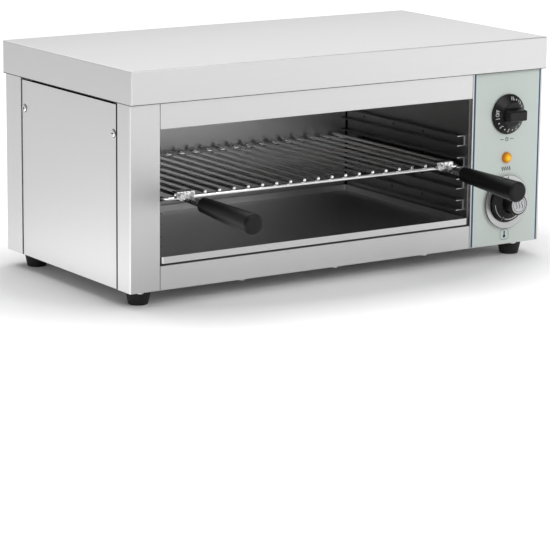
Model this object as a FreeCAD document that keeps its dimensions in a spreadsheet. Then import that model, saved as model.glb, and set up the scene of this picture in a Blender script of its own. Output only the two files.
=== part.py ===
import FreeCAD, Part
import os
import Sketcher
from FreeCAD import Placement, Rotation, Vector

# A counter-top cheese melter: an open-fronted oven with a hood, four pairs of runners, a wire
# rack with two handles, a crumb tray and a control column on the right.
# X runs to the right as seen from the front, Y runs to the back, Z runs up.
# The origin is on the surface that the feet stand on, under the middle of the hood.

SIZES = {
    # hood and housing
    "hood_width": 610.0,
    "hood_depth": 310.0,
    "overall_height": 281.0,
    "hood_skirt": 40.5,
    "hood_bend_radius": 1.6,
    "side_overhang": 1.5,
    "front_overhang": 6.0,
    "rear_overhang": 5.0,
    "hood_lip_gap": 0.5,
    "foot_height": 19.0,
    "sheet": 1.0,
    "seam_gap": 0.4,
    "fascia_gap": 0.8,
    "return_depth": 15.0,
    "front_strip": 28.5,
    "rear_strip": 38.0,
    "side_recess": 1.0,
    "side_front_gap": 3.8,
    "side_rear_gap": 1.8,
    "side_top_gap": 3.0,
    "fold_depth": 6.0,
    "lap_width": 17.0,
    "corner_radius": 1.2,
    "pillar_width": 40.2,
    "panel_width": 110.5,
    "sill_height": 30.2,
    "lintel_height": 30.5,
    "fascia_tuck_height": 25.0,
    # oven liner
    "liner_sheet": 0.8,
    "liner_setback": 5.0,
    "cavity_back_gap": 29.0,
    "ceiling_drop": 44.0,
    "reflector_height": 7.0,
    "reflector_lip_width": 22.0,
    "reflector_slope_width": 20.0,
    # runners
    "runner_height": 13.2,
    "runner_depth": 11.0,
    "runner_front_gap": 14.0,
    "runner_back_gap": 2.0,
    "runner_bend_radius": 1.4,
    "rivet_diameter": 3.2,
    "rivet_head": 0.7,
    "rivet_front_gap": 85.0,
    "rivet_back_gap": 39.0,
    # wire rack
    "rack_rod": 5.0,
    "rack_wire": 4.5,
    "rack_wire_bevel_width": 0.9,
    "rack_wire_end_gap": 16.0,
    "rack_wire_overhang": 4.0,
    "rack_side_gap": 6.8,
    "rack_front_gap": 9.5,
    "rack_back_gap": 9.0,
    "rack_corner_radius": 12.0,
    "running_gap": 0.3,
    # rack handles
    "handle_inset": 28.0,
    "handle_tilt": 2.6,
    "clip_width": 24.5,
    "prong_spacing": 11.0,
    "prong_width": 3.0,
    "clip_sheet": 1.2,
    "clip_gap": 0.2,
    "clip_fold_radius": 1.8,
    "clip_reach": 11.0,
    "stem_width": 11.0,
    "stem_height": 4.9,
    "stem_length": 40.0,
    "stem_tang": 30.0,
    "grip_length": 107.0,
    "grip_thin": 18.5,
    "grip_thick": 26.0,
    "grip_edge_radius": 4.0,
    # crumb tray
    "tray_sheet": 0.8,
    "tray_side_gap": 2.3,
    "tray_front_gap": 0.4,
    "tray_back_gap": 3.0,
    "tray_height": 8.0,
    "tray_corner_radius": 3.5,
    # heating elements
    "element_tube": 8.0,
    "element_hole_gap": 0.3,
    "element_drop": 15.0,
    "element_end_gap": 24.0,
    "element_tail": 24.0,
    "element_pin": 4.0,
    "element_pin_length": 12.0,
    "hanger_end_gap": 77.0,
    "hanger_height": 29.0,
    "hanger_sheet": 1.2,
    "ferrule_width": 3.0,
    "ferrule_length": 4.0,
    # temperature sensor
    "bulb_diameter": 6.0,
    "bulb_length": 96.0,
    "capillary": 2.0,
    "capillary_bend": 12.0,
    "bulb_back_gap": 9.0,
    "bulb_wall_gap": 60.0,
    "bulb_drop": 20.0,
    "capillary_offset": 13.0,
    "clip_thickness": 1.5,
    "clip_band": 10.0,
    # control panel
    "overlay_sheet": 0.3,
    "overlay_left_margin": 2.0,
    "overlay_right_margin": 3.3,
    "overlay_end_margin": 1.0,
    "bush_radius": 5.0,
    "bush_length": 4.0,
    "bush_hole_gap": 0.2,
    "shaft_radius": 3.0,
    "shaft_flat": 1.8,
    "shaft_fit": 0.05,
    "snug_gap": 0.05,
    "shaft_engagement": 12.0,
    "shaft_end_gap": 1.0,
    "control_box_width": 46.0,
    "timer_box_depth": 42.0,
    "thermostat_box_depth": 34.0,
    "control_screw_spacing": 28.0,
    "control_screw_radius": 2.0,
    "control_screw_head": 3.5,
    "control_screw_head_height": 1.8,
    "control_screw_length": 8.0,
    # knobs
    "dial_radius": 25.5,
    "dial_gap": 1.0,
    "dial_height": 7.5,
    "dial_bevel_width": 1.3,
    "dial_wall": 3.0,
    "dial_web": 2.5,
    "timer_edge_height": 2.2,
    "timer_cone_height": 7.2,
    "hub_radius": 15.2,
    "hub_taper_width": 0.4,
    "hub_height": 0.8,
    "grip_bar_width": 28.0,
    "grip_bar_thickness": 12.9,
    "grip_bar_foot": 16.8,
    "grip_bar_height": 23.5,
    "grip_bar_radius": 2.2,
    "cone_height": 4.7,
    "fluted_base": 13.8,
    "fluted_top": 13.4,
    "fluted_height": 28.2,
    "fluted_rim": 3.4,
    "fluted_bevel_width": 0.9,
    "flute_radius": 5.0,
    "flute_bite": 1.7,
    "cap_radius": 11.3,
    "cap_gap": 0.1,
    "cap_recess": 0.8,
    "cap_height": 1.5,
    "cap_bevel_width": 0.4,
    # dial ring and pilot lamp
    "ring_radius": 34.4,
    "ring_bore": 26.2,
    "ring_height": 4.6,
    "ring_bevel_width": 0.5,
    "ring_dish": 1.0,
    "ring_undercut_width": 1.4,
    "lens_radius": 7.0,
    "lens_height": 5.5,
    "lens_dome": 4.5,
    "lamp_neck": 5.0,
    "lamp_neck_length": 26.0,
    "lamp_nut": 8.0,
    "lamp_nut_height": 4.0,
    # feet and fasteners
    "foot_inset_side": 27.5,
    "foot_inset_end": 32.0,
    "foot_top_radius": 15.8,
    "foot_bottom_radius": 12.0,
    "foot_rim_width": 0.8,
    "foot_recess_radius": 6.5,
    "foot_recess_depth": 9.0,
    "bolt_radius": 3.0,
    "bolt_hole_gap": 0.2,
    "bolt_head_radius": 5.5,
    "bolt_head_height": 3.5,
    "bolt_reach": 8.0,
    "nut_radius": 5.8,
    "nut_height": 5.0,
    "screw_radius": 2.0,
    "screw_head_radius": 4.4,
    "screw_head_height": 1.9,
    "screw_length": 8.0,
    "screw_cross_length": 4.6,
    "screw_cross_width": 1.2,
    "screw_cross_depth": 1.0,
    "side_screw_drop": 37.4,
    "side_screw_front": 10.5,
    "side_screw_rear": 8.0,
    "under_screw_setback": 4.6,
    "under_screw_left": 15.9,
    "under_screw_right": 37.5,
    "rear_screw_inset": 56.7,
    # mains inlet and terminals
    "gland_height": 44.0,
    "gland_inset": 41.5,
    "gland_radius": 10.0,
    "gland_bore": 4.5,
    "gland_flange": 14.0,
    "gland_flange_depth": 3.0,
    "gland_length": 14.0,
    "gland_inside": 12.0,
    "gland_neck": 7.6,
    "gland_hole_gap": 0.2,
    "terminal_width": 22.0,
    "terminal_length": 58.0,
    "terminal_height": 24.0,
    "terminal_way": 14.0,
    "terminal_cut": 3.0,
    "terminal_depth": 8.0,
    "terminal_back_gap": 70.0,
    # vents
    "vent_width": 46.0,
    "vent_height": 4.0,
    "vent_spacing": 11.0,
    "base_vent_length": 5.0,
    "base_vent_spacing": 14.0,
    "overrun": 2.0,
}
RUNNER_COUNT = 4
RACK_LEVEL = 2
WIRE_COUNT = 21
RIVET_COUNT = 3
FLUTE_COUNT = 8
VENT_COUNT = 8
BASE_VENT_COUNT = 10
HANGER_COUNT = 3
TERMINAL_WAYS = 3

# Places that follow another size, as shares of it: heights in the oven's opening and on the control
# panel, the element's legs from front to back of the reflector, and the screws along the front.
RUNNER_TOP_SHARE = 0.699
RUNNER_SPACING_SHARE = 0.1698
TIMER_SHARE = 0.7549
LAMP_SHARE = 0.5034
THERMOSTAT_SHARE = 0.2492
ELEMENT_LEG_SHARES = (0.058, 0.338, 0.662, 0.942)
UNDER_SCREW_SHARES = (0.0, 0.255, 0.5, 0.745, 1.0)

doc = FreeCAD.newDocument("cheese_melter")
sheet = doc.addObject("Spreadsheet::Sheet", "Sizes")
for row, (alias, number) in enumerate(SIZES.items(), start=1):
    sheet.set("A%d" % row, alias)
    sheet.set("B%d" % row, str(number))
    sheet.setAlias("B%d" % row, alias)
doc.recompute()


class Size:
    """A length made of named sizes: its value now, and the expression that keeps it tied to them."""

    def __init__(self, value, text):
        self.value = value
        self.text = text

    def joined(self, sign, other, value):
        return Size(value, "(%s %s %s)" % (self.text, sign, other.text))

    def __add__(self, other):
        other = as_size(other)
        return self.joined("+", other, self.value + other.value)

    def __sub__(self, other):
        other = as_size(other)
        return self.joined("-", other, self.value - other.value)

    def __mul__(self, other):
        other = as_size(other)
        return self.joined("*", other, self.value * other.value)

    def __truediv__(self, other):
        other = as_size(other)
        return self.joined("/", other, self.value / other.value)

    def __radd__(self, other):
        return as_size(other) + self

    def __rsub__(self, other):
        return as_size(other) - self

    def __rmul__(self, other):
        return as_size(other) * self

    def __neg__(self):
        return Size(-self.value, "(-1 * %s)" % self.text)


def as_size(number):
    return number if isinstance(number, Size) else Size(float(number), repr(float(number)))


class Sheet:
    """Reads a named size out of the spreadsheet."""

    def __getattr__(self, alias):
        return Size(float(getattr(sheet, alias)), "Sizes." + alias)


s = Sheet()
nodes = {}


def keep(name, piece):
    """Marks a finished piece as one of the sub-parts."""
    piece.Label = name
    nodes[name] = piece
    return piece


def tie(piece, path, size):
    """Binds one property of a piece to its named sizes."""
    piece.setExpression(path, as_size(size).text)


def put(piece, x=0, y=0, z=0, turn=None):
    """Places a piece, each coordinate tied to its named sizes."""
    place = [as_size(x), as_size(y), as_size(z)]
    piece.Placement = Placement(Vector(*[size.value for size in place]), turn or Rotation())
    for axis, size in zip("xyz", place):
        tie(piece, "Placement.Base." + axis, size)
    return piece


def box(x, y, z):
    """A block between two named places along each axis."""
    block = doc.addObject("Part::Box", "Block")
    put(block, x[0], y[0], z[0])
    for side, (low, high) in zip(("Length", "Width", "Height"), (x, y, z)):
        setattr(block, side, (as_size(high) - low).value)
        tie(block, side, as_size(high) - low)
    return block


ALONG_X = Rotation(Vector(0, 1, 0), 90)
ALONG_Y = Rotation(Vector(1, 0, 0), -90)
TO_FRONT = Rotation(Vector(1, 0, 0), 90)
TO_LEFT = Rotation(Vector(0, 1, 0), -90)
DOWN = Rotation(Vector(1, 0, 0), 180)


def rod(radius, length, x, y, z, turn=None):
    """A round bar that starts at a named place."""
    bar = doc.addObject("Part::Cylinder", "Bar")
    bar.Radius = as_size(radius).value
    bar.Height = as_size(length).value
    tie(bar, "Radius", radius)
    tie(bar, "Height", length)
    return put(bar, x, y, z, turn)


def bend(radius, tube_radius, x, y, z, turn=None, sweep=90):
    """A bent length of round bar: part of a ring."""
    ring = doc.addObject("Part::Torus", "Bend")
    ring.Radius1 = as_size(radius).value
    ring.Radius2 = as_size(tube_radius).value
    ring.Angle3 = sweep
    tie(ring, "Radius1", radius)
    tie(ring, "Radius2", tube_radius)
    return put(ring, x, y, z, turn)


def cut(base, *tools):
    """One piece less the others."""
    result = doc.addObject("Part::Cut", "Cut")
    result.Base = base
    result.Tool = tools[0] if len(tools) == 1 else fuse(*tools)
    return result


def fuse(*pieces):
    """Several shapes joined into one."""
    result = doc.addObject("Part::MultiFuse", "Joined")
    result.Shapes = list(pieces)
    return result


def group(*pieces):
    """Several separate solids kept as one sub-part."""
    result = doc.addObject("Part::Compound", "Set")
    result.Links = list(pieces)
    return result


def new_body():
    return doc.addObject("PartDesign::Body", "Body")


def origin_feature(body, role):
    return [feature for feature in body.Origin.OriginFeatures if feature.Role == role][0]


def new_sketch(body, plane, lift):
    """A sketch on one of the body's own planes, raised along the plane's normal."""
    sketch = body.newObject("Sketcher::SketchObject", "Sketch")
    sketch.AttachmentSupport = (origin_feature(body, plane), [""])
    sketch.MapMode = "FlatFace"
    sketch.AttachmentOffset = Placement(Vector(0, 0, as_size(lift).value), Rotation())
    tie(sketch, "AttachmentOffset.Base.z", lift)
    return sketch


def pin_point(sketch, edge, end, x, y):
    """Ties one point of a sketch to its named sizes."""
    for kind, size, zero_line in (("DistanceX", as_size(x), -2), ("DistanceY", as_size(y), -1)):
        if size.text == "0.0":
            sketch.addConstraint(Sketcher.Constraint("PointOnObject", edge, end, zero_line))
            continue
        index = sketch.addConstraint(Sketcher.Constraint(kind, -1, 1, edge, end, size.value))
        tie(sketch, "Constraints[%d]" % index, size)


def outline(body, plane, points, lift=0):
    """A closed outline of straight edges whose corners are named places."""
    sketch = new_sketch(body, plane, lift)
    places = [Vector(as_size(x).value, as_size(y).value, 0) for x, y in points]
    following = places[1:] + places[:1]
    sketch.addGeometry([Part.LineSegment(a, b) for a, b in zip(places, following)], False)
    for edge, (x, y) in enumerate(points):
        sketch.addConstraint(Sketcher.Constraint("Coincident", edge, 2, (edge + 1) % len(points), 1))
        pin_point(sketch, edge, 1, x, y)
    return sketch


def circles(body, plane, rounds, lift=0):
    """A sketch of circles, each a named radius about a named place."""
    sketch = new_sketch(body, plane, lift)
    for edge, (x, y, radius) in enumerate(rounds):
        centre = Vector(as_size(x).value, as_size(y).value, 0)
        radius = as_size(radius)
        sketch.addGeometry(Part.Circle(centre, Vector(0, 0, 1), radius.value), False)
        pin_point(sketch, edge, 3, x, y)
        index = sketch.addConstraint(Sketcher.Constraint("Radius", edge, radius.value))
        tie(sketch, "Constraints[%d]" % index, radius)
    return sketch


def pad(body, sketch, length):
    """Raises a sketch by a named length."""
    feature = body.newObject("PartDesign::Pad", "Pad")
    feature.Profile = sketch
    feature.Length = as_size(length).value
    tie(feature, "Length", length)
    doc.recompute()
    return feature


def pocket(body, sketch, length=None):
    """Cuts a sketch into the body: right through both ways, or to a named depth."""
    before = body.Shape.Volume
    feature = body.newObject("PartDesign::Pocket", "Pocket")
    feature.Profile = sketch
    if length is None:
        feature.Type = "ThroughAll"
        feature.SideType = "Symmetric"
    else:
        feature.Length = as_size(length).value
        tie(feature, "Length", length)
    doc.recompute()
    if body.Shape.Volume >= before:
        raise RuntimeError("a pocket removed nothing from " + body.Label)
    return feature


def revolve(body, points):
    """Turns an outline of radius and height about the body's upright axis."""
    sketch = outline(body, "XZ_Plane", points)
    feature = body.newObject("PartDesign::Revolution", "Revolution")
    feature.Profile = sketch
    feature.ReferenceAxis = (sketch, ["V_Axis"])
    feature.Angle = 360
    doc.recompute()
    return feature


def repeat(body, *rows):
    """Repeats all of a body along one or more of its axes: axis, spacing and count."""
    for axis, spacing, count in rows:
        pattern = body.newObject("PartDesign::LinearPattern", "Row")
        pattern.TransformMode = "Whole shape"
        pattern.Direction = (origin_feature(body, axis + "_Axis"), [""])
        pattern.Mode = "Spacing"
        pattern.Offset = as_size(spacing).value
        tie(pattern, "Offset", spacing)
        pattern.Occurrences = count
        body.Tip = pattern
        doc.recompute()


def round_edges(body, feature, radius, chosen):
    """Rounds the edges of a feature whose middle passes a test."""
    names = []
    for index, edge in enumerate(feature.Shape.Edges, start=1):
        if chosen(edge):
            names.append("Edge%d" % index)
    fillet = body.newObject("PartDesign::Fillet", "Fillet")
    fillet.Base = (feature, names)
    fillet.Radius = as_size(radius).value
    tie(fillet, "Radius", radius)
    doc.recompute()
    return fillet


def turned(points, x=0, y=0, z=0, turn=None):
    """A turned piece: an outline of radius and height, spun about its own axis and placed."""
    body = new_body()
    revolve(body, points)
    return put(body, x, y, z, turn)


def folded_upright(points, low, high):
    """Folded sheet with the same plan all the way up."""
    body = new_body()
    pad(body, outline(body, "XY_Plane", points, low), as_size(high) - low)
    return body


def folded_across(points, low, high):
    """Folded sheet with the same section, given in Y and Z, all the way across in X."""
    body = new_body()
    pad(body, outline(body, "YZ_Plane", points, low), as_size(high) - low)
    return body


# Places that several pieces share

hood_right = s.hood_width / 2
hood_left = -hood_right
hood_front = -s.hood_depth / 2
hood_back = s.hood_depth / 2
hood_bottom = s.overall_height - s.hood_skirt
body_right = hood_right - s.side_overhang
body_left = -body_right
body_front = hood_front + s.front_overhang
body_back = hood_back - s.rear_overhang
body_bottom = s.foot_height
body_top = s.overall_height - s.sheet
panel_back = body_front + s.sheet
base_top = body_bottom + s.sheet
front_seam = body_front + s.front_strip
rear_seam = body_back - s.rear_strip
side_skin = body_right - s.side_recess
lap_skin = body_right - s.fold_depth

pillar_right = body_left + s.pillar_width
panel_left = body_right - s.panel_width
fascia_left = pillar_right + s.fascia_gap
fascia_right = panel_left - s.fascia_gap
cavity_left = pillar_right + s.liner_sheet
cavity_right = panel_left - s.liner_sheet
cavity_middle = (cavity_left + cavity_right) / 2
cavity_back = body_back - s.cavity_back_gap
opening_bottom = body_bottom + s.sill_height
opening_top = hood_bottom - s.lintel_height
opening_height = opening_top - opening_bottom
cavity_floor_top = opening_bottom + s.liner_sheet
liner_front = panel_back + s.liner_setback
ceiling = body_top - s.ceiling_drop
panel_middle = (panel_left + body_right) / 2
panel_height = hood_bottom - body_bottom
timer_z = body_bottom + panel_height * TIMER_SHARE
lamp_z = body_bottom + panel_height * LAMP_SHARE
thermostat_z = body_bottom + panel_height * THERMOSTAT_SHARE


# Hood: a lid folded from one sheet, with a deep skirt all round and a lip along front and back.

def top_hood():
    body = new_body()
    corners = [(hood_left, hood_front), (hood_right, hood_front),
               (hood_right, hood_back), (hood_left, hood_back)]
    block = pad(body, outline(body, "XY_Plane", corners, hood_bottom), s.hood_skirt)

    def not_along_sides(edge):
        low = edge.BoundBox.ZMax < (hood_bottom + s.sheet).value
        return not (low and edge.BoundBox.YLength > s.hood_depth.value / 2)

    lid = round_edges(body, block, s.hood_bend_radius, not_along_sides)
    body.Tip = lid
    inside = box((hood_left + s.sheet, hood_right - s.sheet),
                 (hood_front + s.sheet, hood_back - s.sheet),
                 (hood_bottom + s.sheet, body_top))
    mouth = box((hood_left + s.sheet, hood_right - s.sheet),
                (body_front - s.hood_lip_gap, body_back + s.hood_lip_gap),
                (hood_bottom - s.overrun, hood_bottom + s.sheet + s.overrun))
    return cut(body, inside, mouth)


keep("top_hood", top_hood())


# Front corners: the left pillar and the control panel are folded alike. Each runs round its front
# corner, folds in deep behind the side panel and turns back beside the oven opening. The base plate
# is let in between them, and a lip on each stands on it.

screw_hole = s.screw_radius + s.bolt_hole_gap
side_screw_z = hood_bottom - s.side_screw_drop
side_screw_row = (front_seam + s.side_screw_front, rear_seam - s.side_screw_rear)
base_edge = lap_skin - s.sheet
under_screw_y = body_front + s.under_screw_setback
under_screw_first = body_left + s.under_screw_left
under_screw_run = body_right - s.under_screw_right - under_screw_first
under_screw_row = [under_screw_first + under_screw_run * share for share in UNDER_SCREW_SHARES]


def corner_outline(inner, side):
    outer = side * body_right
    into = side * s.sheet
    lap = side * lap_skin
    return [
        (inner, body_front),
        (outer, body_front),
        (outer, front_seam),
        (lap, front_seam),
        (lap, front_seam + s.lap_width),
        (lap - into, front_seam + s.lap_width),
        (lap - into, front_seam - s.sheet),
        (outer - into, front_seam - s.sheet),
        (outer - into, body_front + s.sheet),
        (inner + into, body_front + s.sheet),
        (inner + into, body_front + s.return_depth),
        (inner, body_front + s.return_depth),
    ]


def base_space():
    """The block that the base plate fills."""
    return box((-base_edge, base_edge), (panel_back, body_back - s.sheet),
               (body_bottom - s.overrun, base_top))


def under_screw_holes():
    """Clearance holes for the screws up through the base plate."""
    return [rod(screw_hole, s.sheet * 2 + s.overrun * 2, x, under_screw_y, body_bottom - s.overrun)
            for x in under_screw_row]


def corner(inner, side):
    """One folded front corner with its lip over the base plate."""
    body = new_body()
    plan = outline(body, "XY_Plane", corner_outline(inner, side), body_bottom)
    block = pad(body, plan, body_top - body_bottom)
    outer = (side * body_right).value

    def at_corner(edge):
        middle = edge.CenterOfMass
        near = s.sheet.value / 4
        upright = edge.BoundBox.ZLength > s.lap_width.value
        return upright and abs(middle.x - outer) < near and abs(middle.y - body_front.value) < near

    body.Tip = round_edges(body, block, s.corner_radius, at_corner)
    low, high = sorted((inner + side * s.sheet, side * (body_right - s.sheet)), key=lambda size: size.value)
    lip = box((low, high), (panel_back, body_front + s.return_depth), (base_top, base_top + s.sheet))
    return fuse(cut(body, base_space()), lip)


def side_screw_holes(side):
    """Clearance holes for the side panel's screws, through the laps behind it."""
    start = side * (body_right + s.overrun)
    depth = s.side_recess + s.lap_width
    turn = TO_LEFT if side > 0 else ALONG_X
    return [rod(screw_hole, depth, start, y, side_screw_z, turn) for y in side_screw_row]


keep("left_pillar", cut(corner(pillar_right, -1), side_screw_holes(-1)[0], under_screw_holes()[0]))


def control_panel():
    bush = s.bush_radius + s.bush_hole_gap
    holes = [(panel_middle, timer_z, bush),
             (panel_middle, thermostat_z, bush),
             (panel_middle, lamp_z, s.lamp_neck + s.bush_hole_gap)]
    for height in (timer_z, thermostat_z):
        for side in (-1, 1):
            holes.append((panel_middle, height + side * s.control_screw_spacing / 2,
                          s.control_screw_radius + s.bush_hole_gap))
    drill = new_body()
    rounds = circles(drill, "XZ_Plane", holes, -(body_front + s.sheet + s.overrun))
    pad(drill, rounds, s.sheet + s.overrun * 2)
    return cut(corner(panel_left, 1), drill, side_screw_holes(1)[0], under_screw_holes()[-1])


keep("control_panel", control_panel())


# Control overlay: a printed film stuck to the front of the control panel.

overlay_left = panel_left + s.overlay_left_margin
overlay_right = body_right - s.overlay_right_margin
overlay_front = body_front - s.overlay_sheet


def panel_overlay():
    body = new_body()
    bottom = body_bottom + s.overlay_end_margin
    top = hood_bottom - s.overlay_end_margin
    corners = [(overlay_left, bottom), (overlay_right, bottom), (overlay_right, top), (overlay_left, top)]
    pad(body, outline(body, "XZ_Plane", corners, -body_front), s.overlay_sheet)
    rounds = [(panel_middle, timer_z, s.bush_radius + s.bush_hole_gap),
              (panel_middle, thermostat_z, s.bush_radius + s.bush_hole_gap),
              (panel_middle, lamp_z, s.lamp_neck + s.bush_hole_gap)]
    for height in (timer_z, thermostat_z):
        for side in (-1, 1):
            rounds.append((panel_middle, height + side * s.control_screw_spacing / 2,
                           s.control_screw_head + s.bush_hole_gap))
    pocket(body, circles(body, "XZ_Plane", rounds, -body_front))
    return body


keep("panel_overlay", panel_overlay())


# Fascias: two folded strips close the front above and below the oven opening.

def fascia(bottom, top, lips):
    """A front strip with a return at each named height, notched clear of the oven walls."""
    pieces = [box((fascia_left, fascia_right), (body_front, panel_back), (bottom, top))]
    for low in lips:
        pieces.append(box((cavity_left + s.seam_gap, cavity_right - s.seam_gap),
                          (panel_back - s.sheet / 2, body_front + s.return_depth),
                          (low, low + s.sheet)))
    return fuse(*pieces)


keep("upper_fascia", fascia(opening_top, hood_bottom + s.fascia_tuck_height, [opening_top]))
keep("lower_fascia", cut(fascia(body_bottom, opening_bottom, [base_top, opening_bottom - s.sheet]),
                         *under_screw_holes()[1:-1]))


# Side panels: shallow trays let in between the corner strips. Their turned edges stand on the laps
# of the strips, and open seams are left in front, behind and under the hood.

def side_panel(side):
    outer = side * side_skin
    into = side * s.sheet
    lap = side * lap_skin
    front = front_seam + s.side_front_gap
    back = rear_seam - s.side_rear_gap
    plan = [
        (outer, front),
        (outer, back),
        (lap, back),
        (lap, back - s.sheet),
        (outer - into, back - s.sheet),
        (outer - into, front + s.sheet),
        (lap, front + s.sheet),
        (lap, front),
    ]
    tray = folded_upright(plan, body_bottom, hood_bottom - s.side_top_gap)
    low, high = sorted((outer, outer - side * s.return_depth), key=lambda size: size.value)
    lip_front = front_seam + s.lap_width + s.seam_gap
    lip_back = rear_seam - s.lap_width - s.seam_gap
    lip = box((low, high), (lip_front, lip_back), (base_top, base_top + s.sheet))
    return cut(fuse(tray, lip), *side_screw_holes(side))


keep("left_side_panel", side_panel(-1))
keep("right_side_panel", side_panel(1))


# Rear panel: one sheet folded round both back corners, with vents behind the controls.

gland_x = body_right - s.gland_inset
rear_screw_y = body_back - s.return_depth / 2
rear_screw_row = (body_left + s.rear_screw_inset, as_size(0), body_right - s.rear_screw_inset)


def rear_screw_holes():
    return [rod(screw_hole, s.sheet * 2 + s.overrun * 2, x, rear_screw_y, body_bottom - s.overrun)
            for x in rear_screw_row]


def rear_panel():
    half = []
    for side in (1, -1):
        outer = side * body_right
        into = side * s.sheet
        lap = side * lap_skin
        run = [
            (outer, body_back),
            (outer, rear_seam),
            (lap, rear_seam),
            (lap, rear_seam - s.lap_width),
            (lap - into, rear_seam - s.lap_width),
            (lap - into, rear_seam + s.sheet),
            (outer - into, rear_seam + s.sheet),
            (outer - into, body_back - s.sheet),
        ]
        half.append(run)
    body = folded_upright(half[0] + half[1][::-1], body_bottom, body_top)
    lip = box((-base_edge, base_edge), (body_back - s.return_depth, body_back - s.sheet),
              (base_top, base_top + s.sheet))
    slots = []
    lowest = (body_bottom + hood_bottom - s.vent_height - s.vent_spacing * (VENT_COUNT - 1)) / 2
    for index in range(VENT_COUNT):
        low = lowest + s.vent_spacing * index
        slots.append(box((panel_middle - s.vent_width / 2, panel_middle + s.vent_width / 2),
                         (body_back - s.sheet - s.overrun, body_back + s.overrun),
                         (low, low + s.vent_height)))
    entry = rod(s.gland_neck + s.gland_hole_gap, s.sheet + s.overrun * 2,
                gland_x, body_back - s.sheet - s.overrun, s.gland_height, ALONG_Y)
    return cut(fuse(body, lip), *slots, entry, side_screw_holes(-1)[1], side_screw_holes(1)[1],
               *rear_screw_holes())


keep("rear_panel", rear_panel())


# Base plate: closes the housing below, carries the feet and lets air in under the controls.

foot_x = hood_right - s.foot_inset_side
foot_y = hood_back - s.foot_inset_end


def base_plate():
    edge = base_edge
    body = new_body()
    back = body_back - s.sheet
    corners = [(-edge, panel_back), (edge, panel_back), (edge, back), (-edge, back)]
    pad(body, outline(body, "XY_Plane", corners, body_bottom), s.sheet)
    hole = s.bolt_radius + s.bolt_hole_gap
    rounds = [(x, y, hole) for x in (-foot_x, foot_x) for y in (-foot_y, foot_y)]
    rounds += [(x, under_screw_y, screw_hole) for x in under_screw_row]
    rounds += [(x, rear_screw_y, screw_hole) for x in rear_screw_row]
    pocket(body, circles(body, "XY_Plane", rounds, body_bottom))
    slots = []
    for index in range(BASE_VENT_COUNT):
        front = s.base_vent_spacing * (index - (BASE_VENT_COUNT - 1) / 2)
        slots.append(box((panel_middle - s.vent_width / 2, panel_middle + s.vent_width / 2),
                         (front, front + s.base_vent_length),
                         (body_bottom - s.overrun, base_top + s.overrun)))
    return cut(body, *slots)


keep("base_plate", base_plate())


# Oven liner: polished sheets that make the sides, back, floor and ceiling of the oven.

crown_front = liner_front + s.reflector_lip_width + s.reflector_slope_width
crown_back = cavity_back + s.liner_sheet - s.reflector_lip_width - s.reflector_slope_width
element_holes = [crown_front + (crown_back - crown_front) * share for share in ELEMENT_LEG_SHARES]
element_z = ceiling - s.element_drop
element_radius = s.element_tube / 2
bulb_y = cavity_back - s.bulb_back_gap
bulb_z = ceiling - s.bulb_drop


def liner_side(low, high):
    return box((low, high), (liner_front, cavity_back), (cavity_floor_top, ceiling))


keep("cavity_left_wall", liner_side(pillar_right, cavity_left))


def cavity_right_wall():
    wall = liner_side(cavity_right, panel_left)
    drills = [rod(element_radius + s.element_hole_gap, s.liner_sheet + s.overrun * 2,
                  cavity_right - s.overrun, y, element_z, ALONG_X) for y in element_holes]
    drills.append(rod(s.capillary / 2 + s.element_hole_gap, s.liner_sheet + s.overrun * 2,
                      cavity_right - s.overrun, bulb_y, bulb_z, ALONG_X))
    return cut(wall, *drills)


keep("cavity_right_wall", cavity_right_wall())
keep("cavity_back_wall", box((pillar_right, panel_left), (cavity_back, cavity_back + s.liner_sheet),
                             (cavity_floor_top, ceiling)))
keep("cavity_floor", box((pillar_right, panel_left), (liner_front, cavity_back + s.liner_sheet),
                         (opening_bottom, cavity_floor_top)))


def ceiling_reflector():
    front, back = liner_front, cavity_back + s.liner_sheet
    crown = ceiling + s.reflector_height
    under = [(front, ceiling), (front + s.reflector_lip_width, ceiling), (crown_front, crown),
             (crown_back, crown), (back - s.reflector_lip_width, ceiling), (back, ceiling)]
    over = [(y, z + s.liner_sheet) for y, z in under]
    return folded_across(under + over[::-1], pillar_right, panel_left)


keep("ceiling_reflector", ceiling_reflector())


# Runners: four folded channels on each side wall, riveted through their webs.

runner_front = body_front + s.runner_front_gap
runner_back = cavity_back - s.runner_back_gap
runner_top = opening_bottom + opening_height * RUNNER_TOP_SHARE
runner_spacing = opening_height * RUNNER_SPACING_SHARE


def runner_channel(side, top):
    """One channel, open towards the middle of the oven."""
    wall = cavity_right if side > 0 else cavity_left
    tip = wall - side * s.runner_depth
    web = wall - side * s.sheet
    bottom = top - s.runner_height
    body = new_body()
    points = [(wall, bottom), (wall, top), (tip, top), (tip, top - s.sheet),
              (web, top - s.sheet), (web, bottom + s.sheet), (tip, bottom + s.sheet), (tip, bottom)]
    block = pad(body, outline(body, "XZ_Plane", points, -runner_back), runner_back - runner_front)

    def along_wall(edge):
        middle = edge.CenterOfMass
        lengthwise = abs(edge.BoundBox.YLength - (runner_back - runner_front).value) < s.sheet.value
        return lengthwise and abs(middle.x - wall.value) < s.sheet.value / 4

    body.Tip = round_edges(body, block, s.runner_bend_radius, along_wall)
    return body


def runner_set(side):
    tops = [runner_top - runner_spacing * level for level in range(RUNNER_COUNT)]
    return group(*[runner_channel(side, top) for top in tops])


keep("left_runners", runner_set(-1))
keep("right_runners", runner_set(1))


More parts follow.
